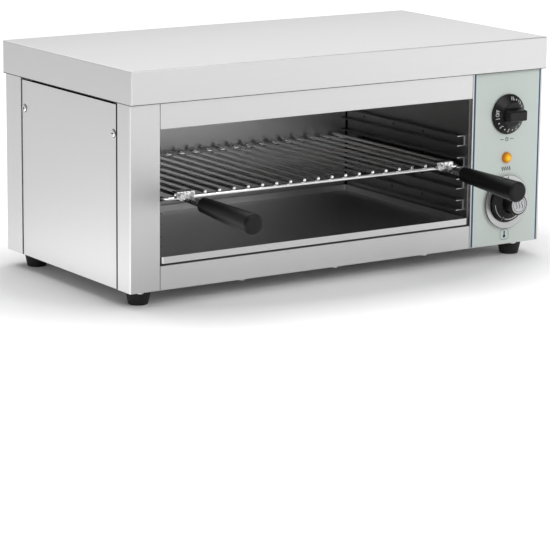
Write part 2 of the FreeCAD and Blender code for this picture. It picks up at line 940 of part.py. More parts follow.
def rivets(side):
    """Blind rivet heads standing on the runner webs of one wall."""
    wall = cavity_right if side > 0 else cavity_left
    web = wall - side * s.sheet
    body = new_body()
    radius = s.rivet_diameter / 2
    revolve(body, [(0, 0), (radius, 0), (radius, s.rivet_head / 2),
                   (radius / 2, s.rivet_head), (0, s.rivet_head)])
    first_rivet = runner_front + s.rivet_front_gap
    rivet_spacing = (runner_back - s.rivet_back_gap - first_rivet) / (RIVET_COUNT - 1)
    repeat(body, ("X", runner_spacing, RUNNER_COUNT), ("Y", rivet_spacing, RIVET_COUNT))
    highest = runner_top - s.runner_height / 2
    lowest = highest - runner_spacing * (RUNNER_COUNT - 1)
    start, turn = (lowest, TO_LEFT) if side > 0 else (highest, ALONG_X)
    return put(body, web, first_rivet, start, turn)


keep("runner_rivets", group(rivets(-1), rivets(1)))


# Wire rack: a closed loop of rod, with wires welded across its top.

rack_left = cavity_left + s.rack_side_gap + s.rack_rod / 2
rack_right = cavity_right - s.rack_side_gap - s.rack_rod / 2
rack_front = body_front + s.rack_front_gap
rack_back = cavity_back - s.rack_back_gap
rack_depth = rack_back - rack_front
rack_z = (runner_top - runner_spacing * (RACK_LEVEL - 1) - s.runner_height + s.sheet
          + s.running_gap + s.rack_rod / 2)
rod_radius = s.rack_rod / 2
wire_radius = s.rack_wire / 2
wire_z = rack_z + rod_radius + wire_radius


def rack_frame():
    r = s.rack_corner_radius
    left, right, front, back = rack_left, rack_right, rack_front, rack_back
    width = right - left - r * 2
    depth = rack_depth - r * 2
    pieces = [
        rod(rod_radius, width, left + r, front, rack_z, ALONG_X),
        rod(rod_radius, width, left + r, back, rack_z, ALONG_X),
        rod(rod_radius, depth, left, front + r, rack_z, ALONG_Y),
        rod(rod_radius, depth, right, front + r, rack_z, ALONG_Y),
    ]
    corners = ((right - r, back - r), (left + r, back - r), (left + r, front + r), (right - r, front + r))
    for quarter, (x, y) in enumerate(corners):
        pieces.append(bend(r, rod_radius, x, y, rack_z, Rotation(Vector(0, 0, 1), 90 * quarter)))
    return fuse(*pieces)


keep("rack_frame", rack_frame())


def rack_wires():
    length = rack_depth + s.rack_wire_overhang * 2
    spacing = (rack_right - rack_left - s.rack_wire_end_gap * 2) / (WIRE_COUNT - 1)
    tip = wire_radius - s.rack_wire_bevel_width
    body = new_body()
    revolve(body, [(0, 0), (tip, 0), (wire_radius, s.rack_wire_bevel_width),
                   (wire_radius, length - s.rack_wire_bevel_width), (tip, length), (0, length)])
    repeat(body, ("X", spacing, WIRE_COUNT))
    first = rack_left + s.rack_wire_end_gap
    return put(body, first, rack_back + s.rack_wire_overhang, wire_z, TO_FRONT)


keep("rack_wires", rack_wires())


# Rack handles: each has a folded clip that hooks over the wires' ends and grasps the front rod with
# two prongs, a channel stem and a grip.

clip_front = rack_front - s.rack_wire_overhang - s.clip_gap - s.clip_sheet
clip_top = wire_z + wire_radius + s.clip_sheet
clip_bottom = rack_z - rod_radius - s.clip_gap - s.clip_sheet


def tilted(piece, x):
    """Hangs a piece that was built along -Y from the clip and dips it by the handle's tilt."""
    angle = s.handle_tilt
    piece.Placement = Placement(Vector(x.value, clip_front.value, rack_z.value),
                                Rotation(Vector(1, 0, 0), 90 + angle.value))
    for axis, size in zip("xyz", (x, clip_front, rack_z)):
        tie(piece, "Placement.Base." + axis, size)
    tie(piece, "Placement.Rotation.Angle", 90 + angle)
    return piece


def stem_body(x, low, high, grow):
    """The stem's channel section between two named distances from the clip."""
    half = s.stem_width / 2 + grow
    tall = s.stem_height / 2 + grow
    web = s.clip_sheet + grow * 2
    body = new_body()
    points = [(-half, -tall), (-half, tall), (half, tall), (half, -tall), (half - web, -tall),
              (half - web, tall - web), (-half + web, tall - web), (-half + web, -tall)]
    pad(body, outline(body, "XY_Plane", points, low), as_size(high) - low)
    return tilted(body, x)


def handle_clip(x):
    """The clip: one folded strip, open to the back, whose lower part is cut away to two prongs."""
    left, right = x - s.clip_width / 2, x + s.clip_width / 2
    back = clip_front + s.clip_reach
    inner = clip_front + s.clip_sheet
    section = [(back, clip_top), (clip_front, clip_top), (clip_front, clip_bottom), (back, clip_bottom),
               (back, clip_bottom + s.clip_sheet), (inner, clip_bottom + s.clip_sheet),
               (inner, clip_top - s.clip_sheet), (back, clip_top - s.clip_sheet)]
    body = folded_across(section, left, right)

    def outer_fold(edge):
        middle = edge.CenterOfMass
        return abs(middle.y - clip_front.value) < s.clip_gap.value \
            and edge.BoundBox.XLength > s.clip_width.value / 2

    body.Tip = round_edges(body, body.Tip, s.clip_fold_radius, outer_fold)
    low, knee = clip_bottom - s.overrun, clip_bottom + s.clip_sheet
    inside = (s.prong_spacing - s.prong_width) / 2
    outside = (s.prong_spacing + s.prong_width) / 2
    notches = [[(x - inside, low), (x - inside, knee), (x, rack_z), (x + inside, knee), (x + inside, low)]]
    for side in (-1, 1):
        beyond = x + side * (s.clip_width / 2 + s.overrun)
        notches.append([(x + side * outside, low), (x + side * outside, knee),
                        (x + side * s.clip_width / 2, rack_z), (beyond, rack_z), (beyond, low)])
    for notch in notches:
        body.Tip = pocket(body, outline(body, "XZ_Plane", notch))
    return body


def handle_bracket(x):
    return fuse(handle_clip(x), stem_body(x, -s.clip_gap, s.stem_length + s.stem_tang, 0))


def grip(x):
    thin = s.grip_thin / 2
    thick = s.grip_thick / 2
    start = s.stem_length
    end = s.stem_length + s.grip_length
    body = new_body()
    turn = revolve(body, [(0, start), (thin, start), (thick, end), (0, end)])
    fillet = round_edges(body, turn, s.grip_edge_radius,
                         lambda edge: edge.BoundBox.ZMin > (end - s.clip_sheet).value)
    body.Tip = fillet
    tilted(body, x)
    return cut(body, stem_body(x, start - s.overrun, s.stem_length + s.stem_tang + s.clip_gap, s.snug_gap))


for side_name, side in (("left", -1), ("right", 1)):
    handle_x = cavity_middle + side * ((rack_right - rack_left) / 2 - s.handle_inset)
    keep(side_name + "_handle_bracket", handle_bracket(handle_x))
    keep(side_name + "_grip", grip(handle_x))


# Crumb tray: a shallow pan that slides on the oven floor.

tray_bottom = cavity_floor_top + s.running_gap


def tray_block(inset, low, height):
    """A block as large as the tray less an inset all round, with rounded upright corners."""
    left, right = cavity_left + s.tray_side_gap + inset, cavity_right - s.tray_side_gap - inset
    front, back = body_front + s.tray_front_gap + inset, cavity_back - s.tray_back_gap - inset
    body = new_body()
    corners = [(left, front), (right, front), (right, back), (left, back)]
    block = pad(body, outline(body, "XY_Plane", corners, low), height)
    body.Tip = round_edges(body, block, s.tray_corner_radius - inset,
                           lambda edge: edge.BoundBox.ZLength > height.value / 2)
    return body


def drip_tray():
    hollow = tray_block(s.tray_sheet, tray_bottom + s.tray_sheet, s.tray_height)
    return cut(tray_block(as_size(0), tray_bottom, s.tray_height), hollow)


keep("drip_tray", drip_tray())


# Heating elements: two hairpins of sheathed tube under the ceiling, hung from three plates.

def heating_element(index):
    first, second = element_holes[index * 2], element_holes[index * 2 + 1]
    radius = (second - first) / 2
    bend_x = cavity_left + s.element_end_gap + radius
    length = panel_left + s.element_tail - bend_x
    pieces = [rod(element_radius, length, bend_x, y, element_z, ALONG_X) for y in (first, second)]
    for quarter in (1, 2):
        turn = Rotation(Vector(0, 0, 1), 90 * quarter)
        pieces.append(bend(radius, element_radius, bend_x, first + radius, element_z, turn))
    end = panel_left + s.element_tail
    for y in (first, second):
        pieces.append(rod(s.element_pin / 2, s.element_pin_length, end, y, element_z, ALONG_X))
        pieces.append(rod(element_radius + s.ferrule_width, s.ferrule_length, panel_left, y, element_z,
                          ALONG_X))
    return fuse(*pieces)


keep("front_heating_element", heating_element(0))
keep("rear_heating_element", heating_element(1))


def element_hangers():
    front, back = crown_front + s.seam_gap, crown_back - s.seam_gap
    first = cavity_left + s.hanger_end_gap
    spacing = (cavity_right - s.hanger_end_gap - first) / (HANGER_COUNT - 1)
    hangers = []
    for index in range(HANGER_COUNT):
        x = first + spacing * index
        top = ceiling + s.reflector_height
        plate = box((x, x + s.hanger_sheet), (front, back), (top - s.hanger_height, top))
        drills = [rod(element_radius + s.element_hole_gap, s.hanger_sheet + s.overrun * 2,
                      x - s.overrun, y, element_z, ALONG_X) for y in element_holes]
        hangers.append(cut(plate, *drills))
    return group(*hangers)


keep("element_hangers", element_hangers())


# Temperature sensor: a bulb clipped along the back of the oven, with its capillary tube.

bulb_right = cavity_right - s.bulb_wall_gap


def temperature_sensor():
    tube = s.capillary / 2
    r = s.capillary_bend
    corner_x = panel_middle - s.capillary_offset
    end_y = panel_back + s.thermostat_box_depth
    end_z = thermostat_z
    dropping = Rotation(Vector(1, 0, 0), 90)
    forward = Rotation(Vector(0, 1, 0), Vector(0, 0, -1), Vector(-1, 0, 0), "XYZ")
    return fuse(
        rod(s.bulb_diameter / 2, s.bulb_length, bulb_right - s.bulb_length, bulb_y, bulb_z, ALONG_X),
        rod(tube, corner_x - r - bulb_right, bulb_right, bulb_y, bulb_z, ALONG_X),
        bend(r, tube, corner_x - r, bulb_y, bulb_z - r, dropping),
        rod(tube, bulb_z - end_z - r * 2, corner_x, bulb_y, end_z + r),
        bend(r, tube, corner_x, bulb_y - r, end_z + r, forward),
        rod(tube, bulb_y - r - end_y, corner_x, end_y, end_z, ALONG_Y))


keep("temperature_sensor", temperature_sensor())


def sensor_clips():
    half = s.bulb_diameter / 2
    outer = half + s.clip_thickness
    clips = []
    for share in (1, 3):
        x = bulb_right - s.bulb_length * share / 4 - s.clip_band / 2
        ring = rod(outer, s.clip_band, x, bulb_y, bulb_z, ALONG_X)
        foot = box((x, x + s.clip_band), (bulb_y, cavity_back),
                   (bulb_z - s.clip_thickness, bulb_z + s.clip_thickness))
        bore = rod(half + s.snug_gap, s.clip_band + s.overrun * 2, x - s.overrun, bulb_y, bulb_z, ALONG_X)
        clips.append(cut(fuse(ring, foot), bore))
    return group(*clips)


keep("sensor_clips", sensor_clips())


# Controls: clockwork timer and thermostat behind the panel, each with a bush, a shaft and screws.

box_half = s.control_box_width / 2


def control_case(height, depth):
    """A control's case behind the panel, with its threaded bush standing through the panel."""
    case = box((panel_middle - box_half, panel_middle + box_half), (panel_back, panel_back + depth),
               (height - box_half, height + box_half))
    bush_depth = s.sheet + s.bush_length
    bush = rod(s.bush_radius, bush_depth, panel_middle, panel_back - bush_depth, height, ALONG_Y)
    bore = rod(s.shaft_radius + s.shaft_fit, bush_depth + s.shaft_engagement + s.overrun,
               panel_middle, panel_back - bush_depth - s.overrun, height, ALONG_Y)
    threads = [rod(s.control_screw_radius, s.control_screw_length, panel_middle, panel_back,
                   height + side * s.control_screw_spacing / 2, ALONG_Y) for side in (-1, 1)]
    return cut(fuse(case, bush), bore, *threads)


keep("timer_body", control_case(timer_z, s.timer_box_depth))
keep("thermostat_body", control_case(thermostat_z, s.thermostat_box_depth))


def control_screws():
    screws = []
    for height in (timer_z, thermostat_z):
        for side in (-1, 1):
            z = height + side * s.control_screw_spacing / 2
            shank = rod(s.control_screw_radius, s.control_screw_length, panel_middle,
                        panel_back - s.sheet, z, ALONG_Y)
            head = rod(s.control_screw_head, s.control_screw_head_height, panel_middle,
                       body_front - s.control_screw_head_height, z, ALONG_Y)
            screws.append(fuse(shank, head))
    return group(*screws)


keep("control_screws", control_screws())


def shaft(height, reach, grow=0):
    """A control shaft with a flat, from inside its case to a named distance before the overlay."""
    length = reach + s.overlay_sheet + s.sheet + s.shaft_engagement - s.shaft_end_gap
    back = panel_back + s.shaft_engagement - s.shaft_end_gap
    radius = s.shaft_radius + grow
    bar = rod(radius, length, panel_middle, back, height, TO_FRONT)
    flat_z = height + s.shaft_flat + grow
    flat = box((panel_middle - radius - s.overrun, panel_middle + radius + s.overrun),
               (overlay_front - reach - s.overrun, overlay_front - s.bush_length - s.dial_gap),
               (flat_z, height + radius + s.overrun))
    return cut(bar, flat)


timer_reach = s.grip_bar_height - s.dial_height
thermostat_reach = s.fluted_height - s.dial_height
keep("timer_shaft", shaft(timer_z, timer_reach))
keep("thermostat_shaft", shaft(thermostat_z, thermostat_reach))


# Timer knob: a coned dial, hollow behind, with a low hub and a grip bar that thins towards its front.

def knob_back(hollow_radius, points_front):
    """The outline of a knob: a hollow back that narrows to a named radius, then its own front."""
    inner = s.dial_radius - s.dial_wall
    under = s.dial_height - s.dial_web
    back = [(0, under), (hollow_radius, under), (inner, s.dial_gap), (s.dial_radius, s.dial_gap)]
    return back + points_front


def fit_to_shaft(body, height, reach):
    """Cuts the blind bore with its flat that takes the shaft."""
    return cut(body, shaft(height, reach, s.shaft_fit))


def timer_knob():
    body = new_body()
    foot = s.timer_edge_height + s.timer_cone_height
    rise = foot + s.hub_height
    revolve(body, knob_back(s.hub_radius + s.dial_web, [
        (s.dial_radius, s.timer_edge_height),
        (s.hub_radius, foot),
        (s.hub_radius - s.hub_taper_width, rise),
        (0, rise),
    ]))
    put(body, panel_middle, overlay_front, timer_z, TO_FRONT)
    top, thick = s.grip_bar_thickness / 2, s.grip_bar_foot / 2
    section = [(-thick, s.dial_height), (thick, s.dial_height), (top, s.grip_bar_height),
               (-top, s.grip_bar_height)]
    bar = folded_across(section, -s.grip_bar_width / 2, s.grip_bar_width / 2)
    bar.Tip = round_edges(bar, bar.Tip, s.grip_bar_radius,
                          lambda edge: edge.BoundBox.ZMax > rise.value)
    put(bar, panel_middle, overlay_front, timer_z, TO_FRONT)
    return fit_to_shaft(fuse(body, bar), timer_z, timer_reach)


keep("timer_knob", timer_knob())


# Thermostat knob: a deeper skirt with a coned dial and a tall hub, fluted under its rim, that takes a cap.

def thermostat_knob():
    body = new_body()
    cone_top = s.dial_height + s.cone_height
    recess = s.cap_radius + s.cap_gap
    revolve(body, knob_back(s.dial_radius - s.dial_wall, [
        (s.dial_radius, s.dial_height - s.dial_bevel_width),
        (s.dial_radius - s.dial_bevel_width / 2, s.dial_height),
        (s.fluted_base, cone_top),
        (s.fluted_top, s.fluted_height - s.fluted_bevel_width),
        (s.fluted_top - s.fluted_bevel_width, s.fluted_height),
        (recess, s.fluted_height),
        (recess, s.fluted_height - s.cap_recess),
        (0, s.fluted_height - s.cap_recess),
    ]))
    offset = s.fluted_base + s.flute_radius - s.flute_bite
    under_rim = s.fluted_height - s.fluted_rim
    rounds = circles(body, "XY_Plane", [(0, offset, s.flute_radius)], under_rim)
    flute = pocket(body, rounds, under_rim - cone_top)
    flutes = body.newObject("PartDesign::PolarPattern", "Flutes")
    flutes.Originals = [flute]
    flutes.Axis = (origin_feature(body, "Z_Axis"), [""])
    flutes.Angle = 360
    flutes.Occurrences = FLUTE_COUNT
    body.Tip = flutes
    doc.recompute()
    put(body, panel_middle, overlay_front, thermostat_z, TO_FRONT)
    return fit_to_shaft(body, thermostat_z, thermostat_reach)


keep("thermostat_knob", thermostat_knob())
cap_seat = s.fluted_height - s.cap_recess
keep("thermostat_knob_cap", turned(
    [(0, cap_seat), (s.cap_radius, cap_seat), (s.cap_radius, cap_seat + s.cap_height - s.cap_bevel_width),
     (s.cap_radius - s.cap_bevel_width, cap_seat + s.cap_height), (0, cap_seat + s.cap_height)],
    panel_middle, overlay_front, thermostat_z, TO_FRONT))

# Dial ring: a bright ring on the overlay, round the thermostat knob. Its face is dished a little
# towards the knob, and its wall leans in under the rim.

ring_inner_height = s.ring_height - s.ring_dish
keep("dial_ring", turned(
    [(s.ring_bore, 0), (s.ring_radius - s.ring_undercut_width, 0),
     (s.ring_radius, s.ring_height - s.ring_bevel_width),
     (s.ring_radius - s.ring_bevel_width, s.ring_height),
     (s.ring_bore + s.ring_bevel_width, ring_inner_height),
     (s.ring_bore, ring_inner_height - s.ring_bevel_width)],
    panel_middle, overlay_front, thermostat_z, TO_FRONT))


# Pilot lamp: a domed lens on a threaded neck, held by a nut behind the panel.

def pilot_lens():
    body = new_body()
    lens = revolve(body, [(0, 0), (s.lens_radius, 0), (s.lens_radius, s.lens_height), (0, s.lens_height)])
    body.Tip = round_edges(body, lens, s.lens_dome, lambda edge: edge.BoundBox.ZMin > s.lens_height.value / 2
                           and edge.BoundBox.XLength > s.lens_radius.value)
    return put(body, panel_middle, overlay_front, lamp_z, TO_FRONT)


keep("pilot_lamp_lens", pilot_lens())


def hex_prism(radius, height, x, y, z, turn):
    prism = doc.addObject("Part::Prism", "Hexagon")
    prism.Polygon = 6
    prism.Circumradius = as_size(radius).value
    prism.Height = as_size(height).value
    tie(prism, "Circumradius", radius)
    tie(prism, "Height", height)
    return put(prism, x, y, z, turn)


keep("pilot_lamp_body", fuse(
    rod(s.lamp_neck, s.lamp_neck_length, panel_middle, overlay_front, lamp_z, ALONG_Y),
    hex_prism(s.lamp_nut, s.lamp_nut_height, panel_middle, panel_back, lamp_z, ALONG_Y)))


# Feet: tapered rubber, each on a bolt whose head sits up inside it.

def feet():
    body = new_body()
    revolve(body, [
        (s.foot_recess_radius, 0),
        (s.foot_bottom_radius - s.foot_rim_width, 0),
        (s.foot_bottom_radius, s.foot_rim_width),
        (s.foot_top_radius, s.foot_height),
        (s.bolt_radius + s.bolt_hole_gap, s.foot_height),
        (s.bolt_radius + s.bolt_hole_gap, s.foot_recess_depth),
        (s.foot_recess_radius, s.foot_recess_depth),
    ])
    repeat(body, ("X", foot_x * 2, 2), ("Y", foot_y * 2, 2))
    return put(body, -foot_x, -foot_y)


keep("feet", feet())


def foot_bolts():
    bolts = []
    for x in (-foot_x, foot_x):
        for y in (-foot_y, foot_y):
            head_bottom = s.foot_recess_depth - s.bolt_head_height
            head = rod(s.bolt_head_radius, s.bolt_head_height, x, y, head_bottom)
            shank = rod(s.bolt_radius, base_top + s.bolt_reach - s.foot_recess_depth, x, y,
                        s.foot_recess_depth)
            nut = hex_prism(s.nut_radius, s.nut_height, x, y, base_top, None)
            bolts.append(fuse(head, shank, nut))
    return group(*bolts)


keep("foot_bolts", foot_bolts())


# Screws: pan heads with a cross recess.

def cross_screw(x, y, z, turn):
    """One screw whose head stands on a named place."""
    head = s.screw_head_radius
    body = new_body()
    revolve(body, [
        (0, -s.screw_length),
        (s.screw_radius, -s.screw_length),
        (s.screw_radius, 0),
        (head, 0),
        (head, s.screw_head_height / 2),
        (head * 3 / 4, s.screw_head_height),
        (0, s.screw_head_height),
    ])
    long, thin = s.screw_cross_length / 2, s.screw_cross_width / 2
    for wide, tall in ((long, thin), (thin, long)):
        arm = [(-wide, -tall), (wide, -tall), (wide, tall), (-wide, tall)]
        body.Tip = pocket(body, outline(body, "XY_Plane", arm, s.screw_head_height), s.screw_cross_depth)
    return put(body, x, y, z, turn)


keep("side_panel_screws", group(*[
    cross_screw(side * side_skin, y, side_screw_z, turn)
    for side, turn in ((-1, TO_LEFT), (1, ALONG_X)) for y in side_screw_row]))
keep("base_screws", group(
    *[cross_screw(x, under_screw_y, body_bottom, DOWN) for x in under_screw_row],
    *[cross_screw(x, rear_screw_y, body_bottom, DOWN) for x in rear_screw_row]))


# Mains inlet: a cable gland through the rear panel. The terminal block behind it stands on the base.

def cable_gland():
    flange = rod(s.gland_flange, s.gland_flange_depth, gland_x, body_back, s.gland_height, ALONG_Y)
    nose = rod(s.gland_radius, s.gland_length, gland_x, body_back, s.gland_height, ALONG_Y)
    neck = rod(s.gland_neck, s.gland_inside + s.sheet, gland_x, body_back - s.sheet - s.gland_inside,
               s.gland_height, ALONG_Y)
    nut = hex_prism(s.gland_radius, s.gland_flange_depth, gland_x, body_back - s.sheet - s.gland_flange_depth,
                    s.gland_height, ALONG_Y)
    bore = rod(s.gland_bore, s.gland_length + s.gland_inside + s.sheet + s.overrun * 2, gland_x,
               body_back - s.sheet - s.gland_inside - s.overrun, s.gland_height, ALONG_Y)
    return cut(fuse(flange, nose, neck, nut), bore)


keep("cable_gland", cable_gland())


def terminal_block():
    front = body_back - s.terminal_back_gap - s.terminal_width
    back = front + s.terminal_width
    ridge_front, ridge_back = front + s.terminal_width / 4, back - s.terminal_width / 4
    top = base_top + s.terminal_height
    shoulder = top - s.terminal_height / 3
    section = [(front, base_top), (back, base_top), (back, shoulder), (ridge_back, shoulder),
               (ridge_back, top), (ridge_front, top), (ridge_front, shoulder), (front, shoulder)]
    left = panel_middle - s.terminal_length / 2
    body = folded_across(section, left, left + s.terminal_length)
    wells = []
    for way in range(TERMINAL_WAYS):
        x = panel_middle + s.terminal_way * (way - (TERMINAL_WAYS - 1) / 2)
        wells.append(rod(s.terminal_cut, s.terminal_depth + s.overrun, x, front + s.terminal_width / 2,
                         top - s.terminal_depth))
    return cut(body, *wells)


keep("terminal_block", terminal_block())

doc.recompute()
for piece in doc.Objects:
    if "Invalid" in piece.State or "Error" in piece.State:
        raise RuntimeError("%s (%s) is in state %s" % (piece.Name, piece.Label, piece.State))
for name, piece in nodes.items():
    shape = piece.Shape
    if shape.isNull() or not shape.isValid() or not shape.Solids:
        raise RuntimeError(name + " has no valid solid")

os.makedirs("parts", exist_ok=True)
for name, piece in nodes.items():
    piece.Shape.exportStep("parts/%s.step" % name)
print("%d sub-parts, %d solids" % (len(nodes), sum(len(piece.Shape.Solids) for piece in nodes.values())))
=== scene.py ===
import math

import bpy
from mathutils import Matrix, Vector


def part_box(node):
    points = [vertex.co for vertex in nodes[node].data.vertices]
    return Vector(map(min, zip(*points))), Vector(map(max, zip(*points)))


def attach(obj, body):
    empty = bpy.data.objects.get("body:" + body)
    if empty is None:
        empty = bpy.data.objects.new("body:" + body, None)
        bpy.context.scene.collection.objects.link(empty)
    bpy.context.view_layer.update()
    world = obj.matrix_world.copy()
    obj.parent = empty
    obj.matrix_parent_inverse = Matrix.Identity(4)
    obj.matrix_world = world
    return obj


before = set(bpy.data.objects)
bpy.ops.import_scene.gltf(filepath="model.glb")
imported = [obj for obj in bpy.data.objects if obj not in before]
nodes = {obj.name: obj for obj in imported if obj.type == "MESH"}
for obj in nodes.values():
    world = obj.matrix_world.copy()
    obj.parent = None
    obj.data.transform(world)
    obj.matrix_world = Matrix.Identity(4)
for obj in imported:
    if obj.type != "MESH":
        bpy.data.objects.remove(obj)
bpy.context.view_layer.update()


# Housing: the upper fascia, the base and the plain panels, folded from 1 mm stainless sheet that is
# brushed along or up each piece, and screwed and spot welded into a box.

class Link:
    """A socket's value. Arithmetic and comparisons on it add Math nodes, numbers on either side."""

    def __init__(self, shading, socket):
        self.shading = shading
        self.socket = socket

    def math(self, operation, first, second=None):
        return self.shading.node("ShaderNodeMath", {"operation": operation}, {0: first, 1: second})

    def __add__(self, other):
        return self.math("ADD", self, other)

    def __sub__(self, other):
        return self.math("SUBTRACT", self, other)

    def __rsub__(self, other):
        return self.math("SUBTRACT", other, self)

    def __mul__(self, other):
        return self.math("MULTIPLY", self, other)

    def __pow__(self, other):
        return self.math("POWER", self, other)

    def __abs__(self):
        return self.math("ABSOLUTE", self)

    def __gt__(self, other):
        return self.math("GREATER_THAN", self, other)

    def __lt__(self, other):
        return self.math("LESS_THAN", self, other)

    def __or__(self, other):
        return self.math("MAXIMUM", self, other)

    __radd__ = __add__
    __rmul__ = __mul__


class Shading:
    """A node tree, and the one way in which nodes are added to it."""

    def __init__(self, tree):
        self.tree = tree

    def feed(self, made, sockets):
        for place, given in sockets.items():
            if isinstance(given, Link):
                self.tree.links.new(given.socket, made.inputs[place])
            elif given is not None:
                made.inputs[place].default_value = given

    def node(self, kind, settings=None, sockets=None, output=0):
        made = self.tree.nodes.new(kind)
        for name, setting in (settings or {}).items():
            setattr(made, name, setting)
        self.feed(made, sockets or {})
        return Link(self, made.outputs[output])


class Finish(Shading):
    """A material around one principled shader, and the textures that finishes are made of."""

    def __init__(self, name, **sockets):
        self.material = bpy.data.materials.new(name)
        self.material.use_nodes = True
        super().__init__(self.material.node_tree)
        self.shader = self.tree.nodes["Principled BSDF"]
        self.set(**sockets)

    def set(self, **sockets):
        self.feed(self.shader, {name.replace("_", " "): given for name, given in sockets.items()})

    def place(self):
        """The point in the object's frame, in metres: x to the right, y to the back, z up."""
        return self.node("ShaderNodeTexCoord", output="Object")

    def axes(self, wanted="XYZ"):
        point = self.place()
        return [self.node("ShaderNodeSeparateXYZ", None, {0: point}, output=axis) for axis in wanted]

    def noise(self, scale, stretch=(1, 1, 1), detail=2.0):
        stretched = self.node("ShaderNodeMapping", None, {"Vector": self.place(), "Scale": stretch})
        return self.node("ShaderNodeTexNoise", None,
                         {"Vector": stretched, "Scale": scale, "Detail": detail})

    def ramp(self, value, low, high, start=0.0, end=1.0):
        """Carries a value from start..end to low..high, and holds it there outside."""
        limits = {"Value": value, "From Min": start, "From Max": end, "To Min": low, "To Max": high}
        return self.node("ShaderNodeMapRange", None, limits)

    def blend(self, share, first, second):
        return self.node("ShaderNodeMix", {"data_type": "RGBA"}, {"Factor": share, 6: first, 7: second},
                         output=2)

    def bump(self, height, distance):
        return self.node("ShaderNodeBump", None, {"Height": height, "Distance": distance})

    def tones(self, darker, paler, scale):
        """Lets the colour wander between two tones, over patches of 1 / scale metres."""
        self.set(Base_Color=self.blend(self.noise(scale), darker, paler))

    def gloss(self, smoother, rougher, scale):
        """Lets the roughness wander between two values, over patches of 1 / scale metres."""
        self.set(Roughness=self.ramp(self.noise(scale), smoother, rougher))

    def paint(self, *names):
        for name in names:
            nodes[name].data.materials.clear()
            nodes[name].data.materials.append(self.material)


def grey(level):
    return (level, level, level, 1)


steel_dark, steel_pale, fold_highlight_level, gap_shade_level = 0.59, 0.625, 0.70, 0.06
steel_smooth, steel_rough, fold_polish, hairline_depth = 0.40, 0.46, 0.08, 0.00001
# How often the hairlines change in a metre along x, y and z: drawn sideways, or drawn upwards.
sideways, upwards = (12, 900, 1800), (1800, 900, 12)


def brushed(name, grain, painted_highlight=None, joints=None):
    """Brushed sheet: hairlines along the grain, painted highlight on folds, painted shade in gaps."""
    steel = Finish(name, Metallic=1.0)
    axes = steel.axes()
    hairlines = steel.noise(1.0, grain)
    colour = steel.blend(hairlines, grey(steel_dark), grey(steel_pale))
    roughness = steel.ramp(hairlines, steel_smooth, steel_rough)
    if painted_highlight:
        highlight_share = painted_highlight(*axes)
        colour = steel.blend(highlight_share, colour, grey(fold_highlight_level))
        roughness = roughness - highlight_share * fold_polish
    if joints:
        colour = steel.blend(joints(*axes), colour, grey(gap_shade_level))
    steel.set(Base_Color=colour, Roughness=roughness, Normal=steel.bump(hairlines, hairline_depth))
    return steel


brushed("brushed_across", sideways).paint("upper_fascia", "base_plate")
brushed("brushed_upright", upwards).paint("control_panel", "rear_panel", "right_side_panel")


# Lower fascia: the sill under the oven's opening, folded from the same sheet and brushed along. Its
# top edge, in the gap under the crumb tray, is painted dark as shade.

sill_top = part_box("lower_fascia")[1].z
tray_shade_band = 0.0014


# Painted shade along the sill's top edge.
def under_tray(x, y, z):
    return z > sill_top - tray_shade_band


brushed("brushed_sill", sideways, joints=under_tray).paint("lower_fascia")


# Left side panel: a plain brushed sheet, laid over the side and held by two screws. Painted shade
# darkens the gap along its front edge and the narrow one round each screw head.

def centred(low, high):
    """The middle of a stretch, and half its length."""
    return (low + high) / 2, (high - low) / 2


def distance(one_way, other_way):
    """How far a point is from another, from its two offsets at right angles."""
    return (one_way ** 2.0 + other_way ** 2.0) ** 0.5


panel_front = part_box("left_side_panel")[0].y
front_shade_band, head_shade_band = 0.0012, 0.0008
screws_low, screws_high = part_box("side_panel_screws")
screw_y, screws_half = centred(screws_low.y, screws_high.y)
screw_z, head_radius = centred(screws_low.z, screws_high.z)
screw_apart = screws_half - head_radius


def beside_screw(y):
    """How far forward or back a point of the side is from the nearer of its two screws."""
    return abs(abs(y - screw_y) - screw_apart)


def from_screw(y, z):
    return distance(beside_screw(y), z - screw_z)


# Painted shade in the gap at the front edge and round each screw head.
def side_gaps(x, y, z):
    return (y < panel_front + front_shade_band) | (from_screw(y, z) < head_radius + head_shade_band)


brushed("brushed_side", upwards, joints=side_gaps).paint("left_side_panel")


# Hood: one sheet folded down on all four sides and laid over the body, its corners upright welded
# seams. Painted highlight lies on them and on its two end folds, and painted shade on its lower hem.

hood_low, hood_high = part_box("top_hood")
highlight_width, hem_shade_band = 0.0013, 0.0009


# Painted highlight on the hood's upright corner seams and the folds along its two ends.
def hood_folds(x, y, z):
    near_end = abs(x) > hood_high.x - highlight_width
    near_front_or_back = (y < hood_low.y + highlight_width) | (y > hood_high.y - highlight_width)
    return near_end * near_front_or_back | near_end * (z > hood_high.z - highlight_width)


# Painted shade along the hood's lower hem.
def hood_hem(x, y, z):
    return z < hood_low.z + hem_shade_band


brushed("brushed_hood", sideways, hood_folds, hood_hem).paint("top_hood")


# Left pillar: an angle of the same sheet, brushed upwards, that stands at the body's front corner
# between the base and the hood. It has one fold, with a painted highlight along it.

pillar_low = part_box("left_pillar")[0]


# Painted highlight along the pillar's fold.
def pillar_fold(x, y, z):
    return (x < pillar_low.x + highlight_width) * (y < pillar_low.y + highlight_width)


brushed("brushed_pillar", upwards, pillar_fold).paint("left_pillar")


# Oven liner: dull cold-rolled stainless sheet, grained level and folded at its corners, that shows
# the rack and itself only as soft streaks. The reflector over the elements is polished.

tone_spread, gloss_spread, corner_shade_level = 0.05, 0.02, 0.02
dent_scale, dent_depth = 7.0, 0.0012


